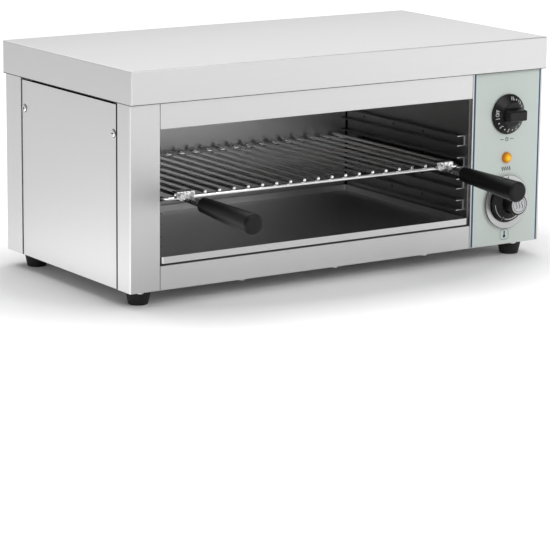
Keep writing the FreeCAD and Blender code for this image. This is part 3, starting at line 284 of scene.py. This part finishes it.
def liner_sheet(name, grain, level, roughness, edge_highlight=None, corner_shade=None, edge_highlight_level=0.66):
    """Dull sheet, with a painted highlight on sheared edges and painted shade in its corners."""
    sheet = Finish(name, Metallic=1.0)
    axes = sheet.axes()
    hairlines = sheet.noise(1.0, grain)
    colour = sheet.blend(hairlines, grey(level * (1 - tone_spread)), grey(level * (1 + tone_spread)))
    if edge_highlight:
        colour = sheet.blend(edge_highlight(*axes), colour, grey(edge_highlight_level))
    if corner_shade:
        colour = sheet.blend(corner_shade(*axes), colour, grey(corner_shade_level))
    sheet.set(Base_Color=colour, Normal=sheet.bump(sheet.noise(dent_scale, detail=0.0), dent_depth))
    sheet.set(Roughness=sheet.ramp(hairlines, roughness - gloss_spread, roughness + gloss_spread))
    return sheet


side_walls_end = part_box("cavity_right_wall")[1].y
back_low, back_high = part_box("cavity_back_wall")
back_middle, back_half = centred(back_low.x, back_high.x)
side_shade_width, back_shade_width = 0.0016, 0.0032


# Painted shade along the side walls' back corners.
def side_corner(x, y, z):
    return y > side_walls_end - side_shade_width


# Painted shade along the back wall's two side corners.
def back_corners(x, y, z):
    return abs(x - back_middle) > back_half - back_shade_width


# How often the grain changes in a metre along x, y and z: level on upright sheet, along flat sheet.
on_walls, along_x = (6, 6, 2600), (6, 2600, 2600)
# The side walls are the same sheet as the back wall, painted darker as shade.
shaded_side_walls = liner_sheet("shaded_side_walls", on_walls, level=0.30, roughness=0.36, corner_shade=side_corner)
shaded_side_walls.paint("cavity_left_wall", "cavity_right_wall")
back_wall = liner_sheet("back_wall", on_walls, level=0.44, roughness=0.40, corner_shade=back_corners)
back_wall.paint("cavity_back_wall")
fittings = liner_sheet("liner_fittings", along_x, level=0.30, roughness=0.30)
fittings.paint("element_hangers", "sensor_clips", "cavity_floor")
liner_sheet("reflector", along_x, level=0.75, roughness=0.26).paint("ceiling_reflector")


# Crumb tray: one dull sheet, folded up on all four sides and welded at its corners, that slides in
# over the oven's floor. The top edges of its walls carry a painted highlight.

tray_low, tray_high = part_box("drip_tray")
tray_highlight_width = 0.0022
tray_middle, tray_half = centred(tray_low.x, tray_high.x)


# Painted highlight on the top edges of the tray's walls.
def tray_edges(x, y, z):
    ends = abs(x - tray_middle) > tray_half - tray_highlight_width
    return ends | (y > tray_high.y - tray_highlight_width) | (y < tray_low.y + tray_highlight_width)


tray_sheet = liner_sheet("tray_sheet", along_x, level=0.44, roughness=0.36, edge_highlight=tray_edges,
                         edge_highlight_level=0.60)
tray_sheet.paint("drip_tray")


# Runners: four folded channels riveted to each side wall, which the rack slides in. The left ones
# are painted darker as shade, and the right ones have a painted highlight on their sheared ends.

runner_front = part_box("right_runners")[0].y
end_highlight_width = 0.0012


# Painted highlight on the right runners' sheared front ends.
def runner_ends(x, y, z):
    return y < runner_front + end_highlight_width


along_y = (2600, 6, 2600)
# The left runners are painted darker as shade.
liner_sheet("left_runner_painted_shade", along_y, level=0.12, roughness=0.40).paint("left_runners")
right_runners = liner_sheet("runner_sheet", along_y, level=0.28, roughness=0.30, edge_highlight=runner_ends)
right_runners.paint("right_runners")


# Rack: 5 mm rod and 4.5 mm cross wires, resistance welded and chrome plated bright. The handle
# clips are folded from plated sheet, a little dulled by the heat, and hook over the front rod.

def smooth(*names):
    """Shades turned and bent pieces round, but keeps their real edges, which turn by more."""
    roundest = math.radians(35)
    for name in names:
        nodes[name].data.set_sharp_from_angle(angle=roundest)


chrome = Finish("chrome_plate", Metallic=1.0)
chrome.tones(grey(0.80), grey(0.86), scale=60.0)
chrome.gloss(0.05, 0.09, scale=300.0)
chrome.paint("rack_frame", "rack_wires")

clip = Finish("plated_clip", Metallic=1.0)
clip_flow = clip.noise(260.0, detail=3.0)
tarnish = clip.ramp(clip_flow, 0.0, 1.0, start=0.42, end=0.58)
clip.set(Base_Color=clip.blend(tarnish, grey(0.30), grey(0.74)),
         Roughness=clip.ramp(clip_flow, 0.12, 0.26), Normal=clip.bump(clip_flow, 0.0006))
clip.paint("left_handle_bracket", "right_handle_bracket")
smooth("rack_frame", "rack_wires", "left_handle_bracket", "right_handle_bracket")


# Handle grips: turned and moulded in black heat-proof plastic, slightly rough, each pushed on the
# two prongs of its clip.

grip = Finish("black_grip", Base_Color=grey(0.006), Specular_IOR_Level=0.22)
grip_grain = grip.noise(900.0)
grip.set(Roughness=grip.ramp(grip_grain, 0.30, 0.38), Normal=grip.bump(grip_grain, 0.00004))
grip.paint("left_grip", "right_grip")
smooth("left_grip", "right_grip")


# Control film: a pale green-grey polyester film stuck over the control panel, with a navy line and
# a pale blue line printed down each side.

film = Finish("printed_film", Roughness=0.35)
film_low, film_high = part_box("panel_overlay")
film_middle, film_half = centred(film_low.x, film_high.x)
navy_width, blue_width = 0.0024, 0.0018
film_green, film_pale = (0.56, 0.635, 0.595, 1), (0.62, 0.665, 0.635, 1)
line_navy, line_blue = (0.02, 0.05, 0.075, 1), (0.55, 0.68, 0.75, 1)
[film_x] = film.axes("X")
from_middle = abs(film_x - film_middle)
film_colour = film.blend(film.noise(9.0), film_green, film_pale)
film_colour = film.blend(from_middle > film_half - navy_width - blue_width, film_colour, line_blue)
film_colour = film.blend(from_middle > film_half - navy_width, film_colour, line_navy)
film.set(Base_Color=film_colour)
film.paint("panel_overlay")


# Film symbols: a clock under the timer, heat waves under the lamp and a thermometer in a rounded
# frame under the thermostat, screen printed on the film in navy and pale blue ink.

def band(inner, outer, start, end):
    """A flat band along an arc, as points and faces. Each radius is given at its start and end."""
    steps = 48
    points, faces = [], []
    for step in range(steps + 1):
        share = step / steps
        angle = math.radians(start + (end - start) * share)
        for first, last in (inner, outer):
            radius = first + (last - first) * share
            points.append((radius * math.cos(angle), radius * math.sin(angle)))
    for corner in range(0, steps * 2, 2):
        faces.append((corner, corner + 1, corner + 3, corner + 2))
    return points, faces


def full_ring(inner, outer):
    return band((inner, inner), (outer, outer), 0.0, 360.0)


def stroke(path, width):
    """A flat line of one width along a path of points."""
    points, faces = [], []
    for index, (x, z) in enumerate(path):
        before, after = path[max(index - 1, 0)], path[min(index + 1, len(path) - 1)]
        along = Vector((after[0] - before[0], after[1] - before[1])).normalized() * (width / 2)
        points += [(x - along.y, z + along.x), (x + along.y, z - along.x)]
    for corner in range(0, len(path) * 2 - 2, 2):
        faces.append((corner, corner + 1, corner + 3, corner + 2))
    return points, faces


def heat_waves(count, apart, swing, height, width):
    """Upright wavy lines side by side."""
    steps = 16
    lines = []
    for place in range(count):
        x = (place - (count - 1) / 2) * apart
        path = [(x + swing * math.sin(math.tau * step / steps), height * (step / steps - 0.5))
                for step in range(steps + 1)]
        lines.append(stroke(path, width))
    return lines


def rounded_square(half, corner):
    """The closed outline of a square whose corners are quarter circles."""
    path = []
    for quarter, (side_x, side_z) in enumerate(((1, 1), (-1, 1), (-1, -1), (1, -1))):
        for turned in range(0, 91, 15):
            angle = math.radians(90 * quarter + turned)
            path.append((side_x * (half - corner) + corner * math.cos(angle),
                         side_z * (half - corner) + corner * math.sin(angle)))
    return path + path[:1]


def moved(shapes, x, z):
    """Carries shapes to a place on the front, x to the right and z up."""
    return [([(at_x + x, at_z + z) for at_x, at_z in points], faces) for points, faces in shapes]


def printed(name, shapes, surface, finish, body):
    """One print: its shapes laid on a surface whose place in y is given for each x and z."""
    points, faces = [], []
    for shape_points, shape_faces in shapes:
        first = len(points)
        points += [(x, surface(x, z), z) for x, z in shape_points]
        faces += [[first + corner for corner in face] for face in shape_faces]
    mesh = bpy.data.meshes.new(name)
    mesh.from_pydata(points, [], faces)
    mesh.materials.append(finish.material)
    piece = bpy.data.objects.new(name, mesh)
    bpy.context.scene.collection.objects.link(piece)
    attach(piece, body)


def axis_of(name):
    """Where the axis of a piece that is turned about y lies: its x and z."""
    low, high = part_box(name)
    return centred(low.x, high.x)[0], centred(low.z, high.z)[0]


ink_lift = 0.00006
film_face = film_low.y - ink_lift
column_x, timer_z = axis_of("timer_knob")
lamp_x, lamp_z = axis_of("pilot_lamp_lens")
dial_x, dial_z = axis_of("thermostat_knob")

navy_ink = Finish("navy_ink", Roughness=0.4)
navy_ink.tones((0.008, 0.020, 0.045, 1), (0.014, 0.028, 0.058, 1), scale=700.0)
pale_ink = Finish("pale_blue_ink", Roughness=0.4)
pale_ink.tones((0.20, 0.28, 0.29, 1), (0.24, 0.32, 0.33, 1), scale=700.0)

clock_drop, clock_radius, clock_line = 0.0322, 0.0026, 0.0008
minute_hand, hour_hand = clock_radius * 0.6, clock_radius * 0.5
dash_start, dash_end = 0.0050, 0.0105
clock = [full_ring(clock_radius - clock_line, clock_radius),
         stroke([(0, minute_hand), (0, 0), (hour_hand, 0)], clock_line)]
clock += [stroke([(side * dash_start, 0), (side * dash_end, 0)], clock_line) for side in (-1, 1)]

waves_drop = 0.0141
waves = heat_waves(5, apart=0.0030, swing=0.0006, height=0.0050, width=0.0014)

frame_drop, frame_half, frame_corner, frame_line = 0.0427, 0.0065, 0.0032, 0.0009
bulb_radius, bulb_drop, stem_length, stem_width = 0.0021, 0.0024, 0.0068, 0.0019
thermometer = [full_ring(0, bulb_radius), stroke([(0, 0), (0, stem_length)], stem_width)]
thermometer_frame = [stroke(rounded_square(frame_half, frame_corner), frame_line)]

symbols = moved(clock, column_x, timer_z - clock_drop)
symbols += moved(waves, column_x, lamp_z - waves_drop)
symbols += moved(thermometer, dial_x, dial_z - frame_drop - bulb_drop)
printed("film_symbols", symbols, lambda x, z: film_face, navy_ink, "housing")
printed("film_frame", moved(thermometer_frame, dial_x, dial_z - frame_drop), lambda x, z: film_face,
        pale_ink, "housing")


# Timer knob: a black moulded cone with a grip bar, pushed on its shaft. The minutes are printed in
# white round its rim, a numeral at each odd minute and a dot at each even one.

knob = Finish("black_knob", Base_Color=grey(0.005), Specular_IOR_Level=0.24)
knob_grain = knob.noise(500.0)
knob.set(Roughness=knob.ramp(knob_grain, 0.24, 0.32), Normal=knob.bump(knob_grain, 0.00002))
knob.paint("timer_knob", "thermostat_knob")
smooth("timer_knob", "thermostat_knob")


def letters(text, height):
    """The filled outlines of some characters, as points and faces about their middle."""
    curve = bpy.data.curves.new(text, "FONT")
    curve.body = text
    boldness = 0.010
    curve.offset = boldness
    holder = bpy.data.objects.new(text, curve)
    mesh = bpy.data.meshes.new_from_object(holder)
    across = [vertex.co.x for vertex in mesh.vertices]
    upward = [vertex.co.y for vertex in mesh.vertices]
    middle_x, middle_y = centred(min(across), max(across))[0], centred(min(upward), max(upward))[0]
    scale = height / (max(upward) - min(upward))
    points = [((x - middle_x) * scale, (y - middle_y) * scale) for x, y in zip(across, upward)]
    faces = [tuple(face.vertices) for face in mesh.polygons]
    bpy.data.objects.remove(holder)
    bpy.data.curves.remove(curve)
    bpy.data.meshes.remove(mesh)
    return points, faces


def rectangle(half_width, half_height):
    return [(-half_width, -half_height), (half_width, -half_height),
            (half_width, half_height), (-half_width, half_height)], [(0, 1, 2, 3)]


def round_dial(shape, angle, radius, turn=0.0):
    """Carries a shape to its place round a dial, its top outwards, turned further by an angle."""
    points, faces = shape
    swing, angle = math.radians(angle - 90 + turn), math.radians(angle)
    points = [(radius * math.cos(angle) + x * math.cos(swing) - z * math.sin(swing),
               radius * math.sin(angle) + x * math.sin(swing) + z * math.cos(swing)) for x, z in points]
    return points, faces


def coned(middle_x, middle_z, rim, hub):
    """The place in y of a cone on the film, from the radius and height of its rim and of its hub."""
    slope = (hub[1] - rim[1]) / (rim[0] - hub[0])

    def surface(x, z):
        radius = math.hypot(x - middle_x, z - middle_z)
        return film_low.y - rim[1] - (rim[0] - radius) * slope - ink_lift * 2
    return surface


white_ink = Finish("white_ink", Roughness=0.5)
white_ink.tones(grey(0.66), grey(0.74), scale=900.0)

mark_radius, mark_height, off_height, dot_half = 0.0203, 0.0043, 0.003612, 0.0008
# The dials' angles are in degrees, anticlockwise from the right as the user sees them.
first_minute, last_minute, first_angle, minute_step, off_angle = 1, 15, -168.0, 17.8, -187.936
marks = [round_dial(letters("OFF", off_height), off_angle, mark_radius)]
for minute in range(first_minute, last_minute + 1):
    mark = letters(str(minute), mark_height) if minute % 2 else rectangle(dot_half, dot_half)
    marks.append(round_dial(mark, first_angle + minute_step * (minute - first_minute), mark_radius))
# The cone under the marks: the radius of its rim and hub, and how high they stand off the film.
timer_rim, timer_hub = (0.0255, 0.0022), (0.0152, 0.0094)
printed("timer_marks", moved(marks, column_x, timer_z), coned(column_x, timer_z, timer_rim, timer_hub),
        white_ink, "timer")


# Thermostat knob: the same moulding, taller. A heat band that widens from 1 to 3 and a thin lead-in
# are printed round its cone, and a light grey cap with a sign for heat is pressed into its front.

grey_ink = Finish("grey_ink", Roughness=0.45)
grey_ink.tones(grey(0.42), grey(0.48), scale=900.0)
# Each band: its inner and outer radius, at its start and end, and the angles of both.
heat_bands = [
    ((0.0195, 0.0195), (0.0244, 0.0232), 77.0, 2.0),
    ((0.0196, 0.0211), (0.0231, 0.0225), -17.0, -109.0),
    ((0.0219, 0.0219), (0.0226, 0.0226), -176.0, -124.0),
]
# Each label: its height, its angle and radius on the dial, and how far it is turned there.
heat_labels = [
    ("3", 0.0048, 85.0, 0.0217, 0.0),
    ("2", 0.0038, -7.5, 0.0214, 0.0),
    ("1", 0.0040, -116.5, 0.0220, 0.0),
    ("OFF", 0.0046, 137.0, 0.0203, 90.0),
]
heat = [band(*edges) for edges in heat_bands]
heat += [round_dial(letters(text, height), *place) for text, height, *place in heat_labels]
dial_rim, dial_hub = (0.02485, 0.0075), (0.0138, 0.0122)
printed("thermostat_marks", moved(heat, dial_x, dial_z), coned(dial_x, dial_z, dial_rim, dial_hub),
        grey_ink, "thermostat")

cap = Finish("grey_cap", Base_Color=(0.55, 0.56, 0.57, 1))
cap.gloss(0.35, 0.45, scale=500.0)
cap.paint("thermostat_knob_cap")
smooth("thermostat_knob_cap")
cap_x, cap_z = axis_of("thermostat_knob_cap")
cap_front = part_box("thermostat_knob_cap")[0].y
cap_ring, cap_line = 0.0094, 0.0007
dark_ink = Finish("dark_grey_ink", Roughness=0.45)
dark_ink.tones(grey(0.05), grey(0.07), scale=900.0)
cap_sign = [full_ring(cap_ring - cap_line, cap_ring)]
cap_sign += heat_waves(3, apart=0.004464, swing=0.000936, height=0.0090, width=0.0011)
printed("cap_sign", moved(cap_sign, cap_x, cap_z), lambda x, z: cap_front - ink_lift, dark_ink,
        "thermostat")


# Dial ring: a satin ring pressed from sheet and laid round the thermostat's knob, with a small dark
# index printed at its top. Its wall leans under and is painted dark as shade.

ring = Finish("satin_ring", Metallic=1.0)
ring_x, ring_z = ring.axes("XZ")
ring_low, ring_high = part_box("dial_ring")
ring_radius = centred(ring_low.x, ring_high.x)[1]
ring_shade_width = 0.0005
# Painted shade on the ring's outer wall.
ring_wall_shade = distance(ring_x - dial_x, ring_z - dial_z) > ring_radius - ring_shade_width
ring.set(Base_Color=ring.blend(ring_wall_shade, grey(0.52), grey(0.12)))
ring.gloss(0.32, 0.42, scale=700.0)
ring.paint("dial_ring")
smooth("dial_ring")
index_angle, index_radius, index_half_width, index_half_height = 88.5, 0.0314, 0.0008, 0.0011
index = round_dial(rectangle(index_half_width, index_half_height), index_angle, index_radius)
ring_rim, ring_hub = (0.0339, 0.0046), (0.0267, 0.0036)
printed("ring_index", moved([index], dial_x, dial_z), coned(dial_x, dial_z, ring_rim, ring_hub),
        navy_ink, "housing")


# Pilot lamp: a domed lens moulded in amber plastic and clipped into the panel, with a lamp behind
# it that is lit while the elements heat, brightest in its middle.

lens = Finish("amber_lens", Base_Color=(0.36, 0.12, 0.0, 1), Roughness=0.2, Specular_IOR_Level=0.3,
              Emission_Strength=0.9)
lens_x, lens_z = lens.axes("XZ")
lens_low, lens_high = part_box("pilot_lamp_lens")
lens_radius = centred(lens_low.x, lens_high.x)[1]
towards_rim = lens.ramp(distance(lens_x - lamp_x, lens_z - lamp_z), 0.0, 1.0, end=lens_radius)
lens.set(Emission_Color=lens.blend(towards_rim, (1.0, 0.62, 0.01, 1), (0.16, 0.04, 0.0, 1)))
lens.paint("pilot_lamp_lens")
smooth("pilot_lamp_lens")


# Screws, bolts, rivets and shafts: turned steel, bright zinc plated. The side panel's screws have
# cross slots drawn in painted shade, and the runners' rivets have gone dull in the heat.

zinc = Finish("zinc_plate", Metallic=1.0)
zinc.tones(grey(0.64), grey(0.74), scale=200.0)
zinc.gloss(0.22, 0.34, scale=300.0)
zinc.paint("control_screws", "foot_bolts", "base_screws", "timer_shaft", "thermostat_shaft")
smooth("base_screws")

cross_screw = Finish("cross_screw", Metallic=1.0)
head_y, head_z = cross_screw.axes("YZ")
slot_half, slot_reach = 0.0005, head_radius * 0.62
# The cross slots are painted dark on the heads as shade.
slots = (beside_screw(head_y) < slot_half) | (abs(head_z - screw_z) < slot_half)
cross = slots * (from_screw(head_y, head_z) < slot_reach)
head_colour = cross_screw.blend(cross_screw.noise(200.0), grey(0.70), grey(0.78))
cross_screw.set(Base_Color=cross_screw.blend(cross, head_colour, grey(0.05)),
                Roughness=cross_screw.ramp(cross, 0.30, 0.6))
cross_screw.paint("side_panel_screws")
smooth("side_panel_screws")

rivet = Finish("dull_rivet", Metallic=1.0, Roughness=0.5)
rivet.tones(grey(0.08), grey(0.14), scale=200.0)
rivet.paint("runner_rivets")
smooth("runner_rivets")


# Heating elements and sensor: nickel alloy sheath bent into hairpins and blackened by heat, and a
# drawn copper bulb and tube that lead to the thermostat.

sheath = Finish("element_sheath", Metallic=1.0)
sheath.tones((0.14, 0.13, 0.12, 1), (0.19, 0.17, 0.15, 1), scale=30.0)
sheath.gloss(0.4, 0.6, scale=60.0)
sheath.paint("front_heating_element", "rear_heating_element")
smooth("front_heating_element", "rear_heating_element")

copper = Finish("copper_tube", Metallic=1.0)
copper.tones((0.66, 0.35, 0.22, 1), (0.72, 0.40, 0.27, 1), scale=40.0)
copper.gloss(0.25, 0.4, scale=200.0)
copper.paint("temperature_sensor")
smooth("temperature_sensor")


# Control cases and terminal block: moulded bodies in a buff heat-proof plastic, screwed on behind
# the control panel.

case = Finish("control_case")
case.tones((0.58, 0.56, 0.48, 1), (0.64, 0.62, 0.54, 1), scale=60.0)
case.gloss(0.45, 0.6, scale=200.0)
case.paint("timer_body", "thermostat_body", "terminal_block")


# Feet, cable gland and lamp holder: black rubber and nylon mouldings. The feet are bolted on
# through the base, the gland and the holder are clipped into their holes.

rubber = Finish("black_rubber", Specular_IOR_Level=0.3)
rubber.tones(grey(0.010), grey(0.016), scale=80.0)
rubber.gloss(0.5, 0.7, scale=400.0)
rubber.paint("feet", "cable_gland", "pilot_lamp_body")
smooth("feet", "cable_gland")


# Studio floor: a plain white sheet. The camera sees it white beyond the object's soft shadow, and
# the steel mirrors it bright in front and at the left and dim close under the object.

floor_reach = 14.0
floor_corners = ((-1, -1), (1, -1), (1, 1), (-1, 1))
floor_points = [(x * floor_reach, y * floor_reach, 0) for x, y in floor_corners]
floor_mesh = bpy.data.meshes.new("floor")
floor_mesh.from_pydata(floor_points, [], [(0, 1, 2, 3)])
floor = bpy.data.objects.new("floor", floor_mesh)
bpy.context.scene.collection.objects.link(floor)
floor_paint = Finish("white_floor", Base_Color=grey(0.93), Roughness=0.9, Specular_IOR_Level=0.0,
                     Emission_Strength=1.0)
floor_x, floor_y = floor_paint.axes("XY")
frontwards, leftwards = 0 - floor_y, 0 - floor_x
# White to the camera: from the edge of the shadow, an oval as the object is wide, and far away.
width_to_depth = 1.7
from_object = distance(floor_x, floor_y * width_to_depth)
seen_white = floor_paint.ramp(from_object, 0.0, 0.42, start=0.37, end=0.60)
seen_white = seen_white + floor_paint.ramp(distance(floor_x, floor_y), 0.0, 0.5, start=2.0, end=5.0)
# Bright to the steel: in front of the oven, more so to the right.
front_glow = floor_paint.ramp(frontwards, 0.0, 0.22, start=0.16, end=0.9)
front_glow = front_glow + floor_paint.ramp(floor_x, 0.0, 0.75, start=0.2, end=1.2)
# And beside the left panel, less so away from it and towards the back.
left_glow = floor_paint.ramp(leftwards, 0.0, 1.0, start=0.31, end=0.36)
left_glow = left_glow * floor_paint.ramp(leftwards, 1.10, 0.0, start=0.42, end=0.9)
left_glow = left_glow * floor_paint.ramp(floor_y, 1.0, 0.3, start=0.05, end=0.40)
left_glow = left_glow + floor_paint.ramp(leftwards, 0.0, 0.36, start=0.34, end=0.9)
by_camera = floor_paint.node("ShaderNodeLightPath", output="Is Camera Ray")
by_mirror = floor_paint.node("ShaderNodeLightPath", output="Is Glossy Ray")
glow = by_camera * seen_white + by_mirror * (front_glow | left_glow)
floor_paint.set(Emission_Color=floor_paint.blend(glow, grey(0), grey(1)))
floor_mesh.materials.append(floor_paint.material)


# Studio room and lights: a white background, and an even room that the steel mirrors bright low
# down and dimmer overhead. One broad softbox hangs above, one in front, and a card stands behind.

world = bpy.data.worlds.new("studio")
bpy.context.scene.world = world
world.use_nodes = True
world.node_tree.nodes.clear()
room = Shading(world.node_tree)
heading = room.node("ShaderNodeTexCoord", output="Generated")
height = room.node("ShaderNodeSeparateXYZ", None, {0: heading}, output="Z")
low, high, bright_below, dim_above = 0.2, 0.7, 0.80, 0.35
mirrored = room.node("ShaderNodeMapRange", None, {"Value": height, "From Min": low, "From Max": high,
                                                  "To Min": bright_below, "To Max": dim_above})
by_camera = room.node("ShaderNodeLightPath", output="Is Camera Ray")
by_mirror = room.node("ShaderNodeLightPath", output="Is Glossy Ray")
room_level, white = 0.58, 1.0
level = room.node("ShaderNodeMix", None, {0: by_mirror, 2: room_level, 3: mirrored})
level = room.node("ShaderNodeMix", None, {0: by_camera, 2: level, 3: white})
background = room.node("ShaderNodeBackground", None, {"Strength": level})
output = world.node_tree.nodes.new("ShaderNodeOutputWorld")
world.node_tree.links.new(background.socket, output.inputs["Surface"])


def soft_light(name, at, aim, size, power):
    """A rectangular lamp at a point in metres, aimed at another, of a power in watts."""
    lamp = bpy.data.lights.new(name, "AREA")
    lamp.shape = "RECTANGLE"
    lamp.size, lamp.size_y = size
    lamp.energy = power
    holder = bpy.data.objects.new(name, lamp)
    holder.location = at
    holder.rotation_mode = "QUATERNION"
    holder.rotation_quaternion = (Vector(aim) - Vector(at)).to_track_quat("-Z", "Y")
    bpy.context.scene.collection.objects.link(holder)


soft_light("key_softbox", at=(0.15, 0.70, 2.3), aim=(0, 0, 0), size=(3.0, 2.6), power=26)
soft_light("front_softbox", at=(0.5, -2.4, 1.8), aim=(0.1, 0, 0), size=(2.2, 1.4), power=28)
soft_light("rear_card", at=(0.5, 0.48, 0.845), aim=(0.5, -1, 0.845), size=(2.0, 0.85), power=3.8)


# Camera: where the photograph was taken from, with a long lens, a little above the object and to
# its left.

camera_at = Vector((-1.8751, -2.7976, 0.7332))
azimuth, elevation, roll = math.radians(-33.81), math.radians(12.63), math.radians(-0.566)
focal_pixels, picture_pixels, sensor = 2716.7, 550, 36.0
backward = Vector((math.sin(azimuth) * math.cos(elevation), -math.cos(azimuth) * math.cos(elevation),
                   math.sin(elevation)))
level_right = (-backward).cross(Vector((0, 0, 1))).normalized()
level_up = backward.cross(level_right)
right = level_right * math.cos(roll) - level_up * math.sin(roll)
up = level_right * math.sin(roll) + level_up * math.cos(roll)
camera_data = bpy.data.cameras.new("camera")
camera_data.sensor_width = sensor
camera_data.lens = focal_pixels / picture_pixels * sensor
camera = bpy.data.objects.new("camera", camera_data)
camera_turn = Matrix((right, up, backward)).transposed().to_4x4()
camera.matrix_world = Matrix.Translation(camera_at) @ camera_turn
bpy.context.scene.collection.objects.link(camera)
bpy.context.scene.camera = camera
bpy.context.scene.view_settings.view_transform = "Standard"
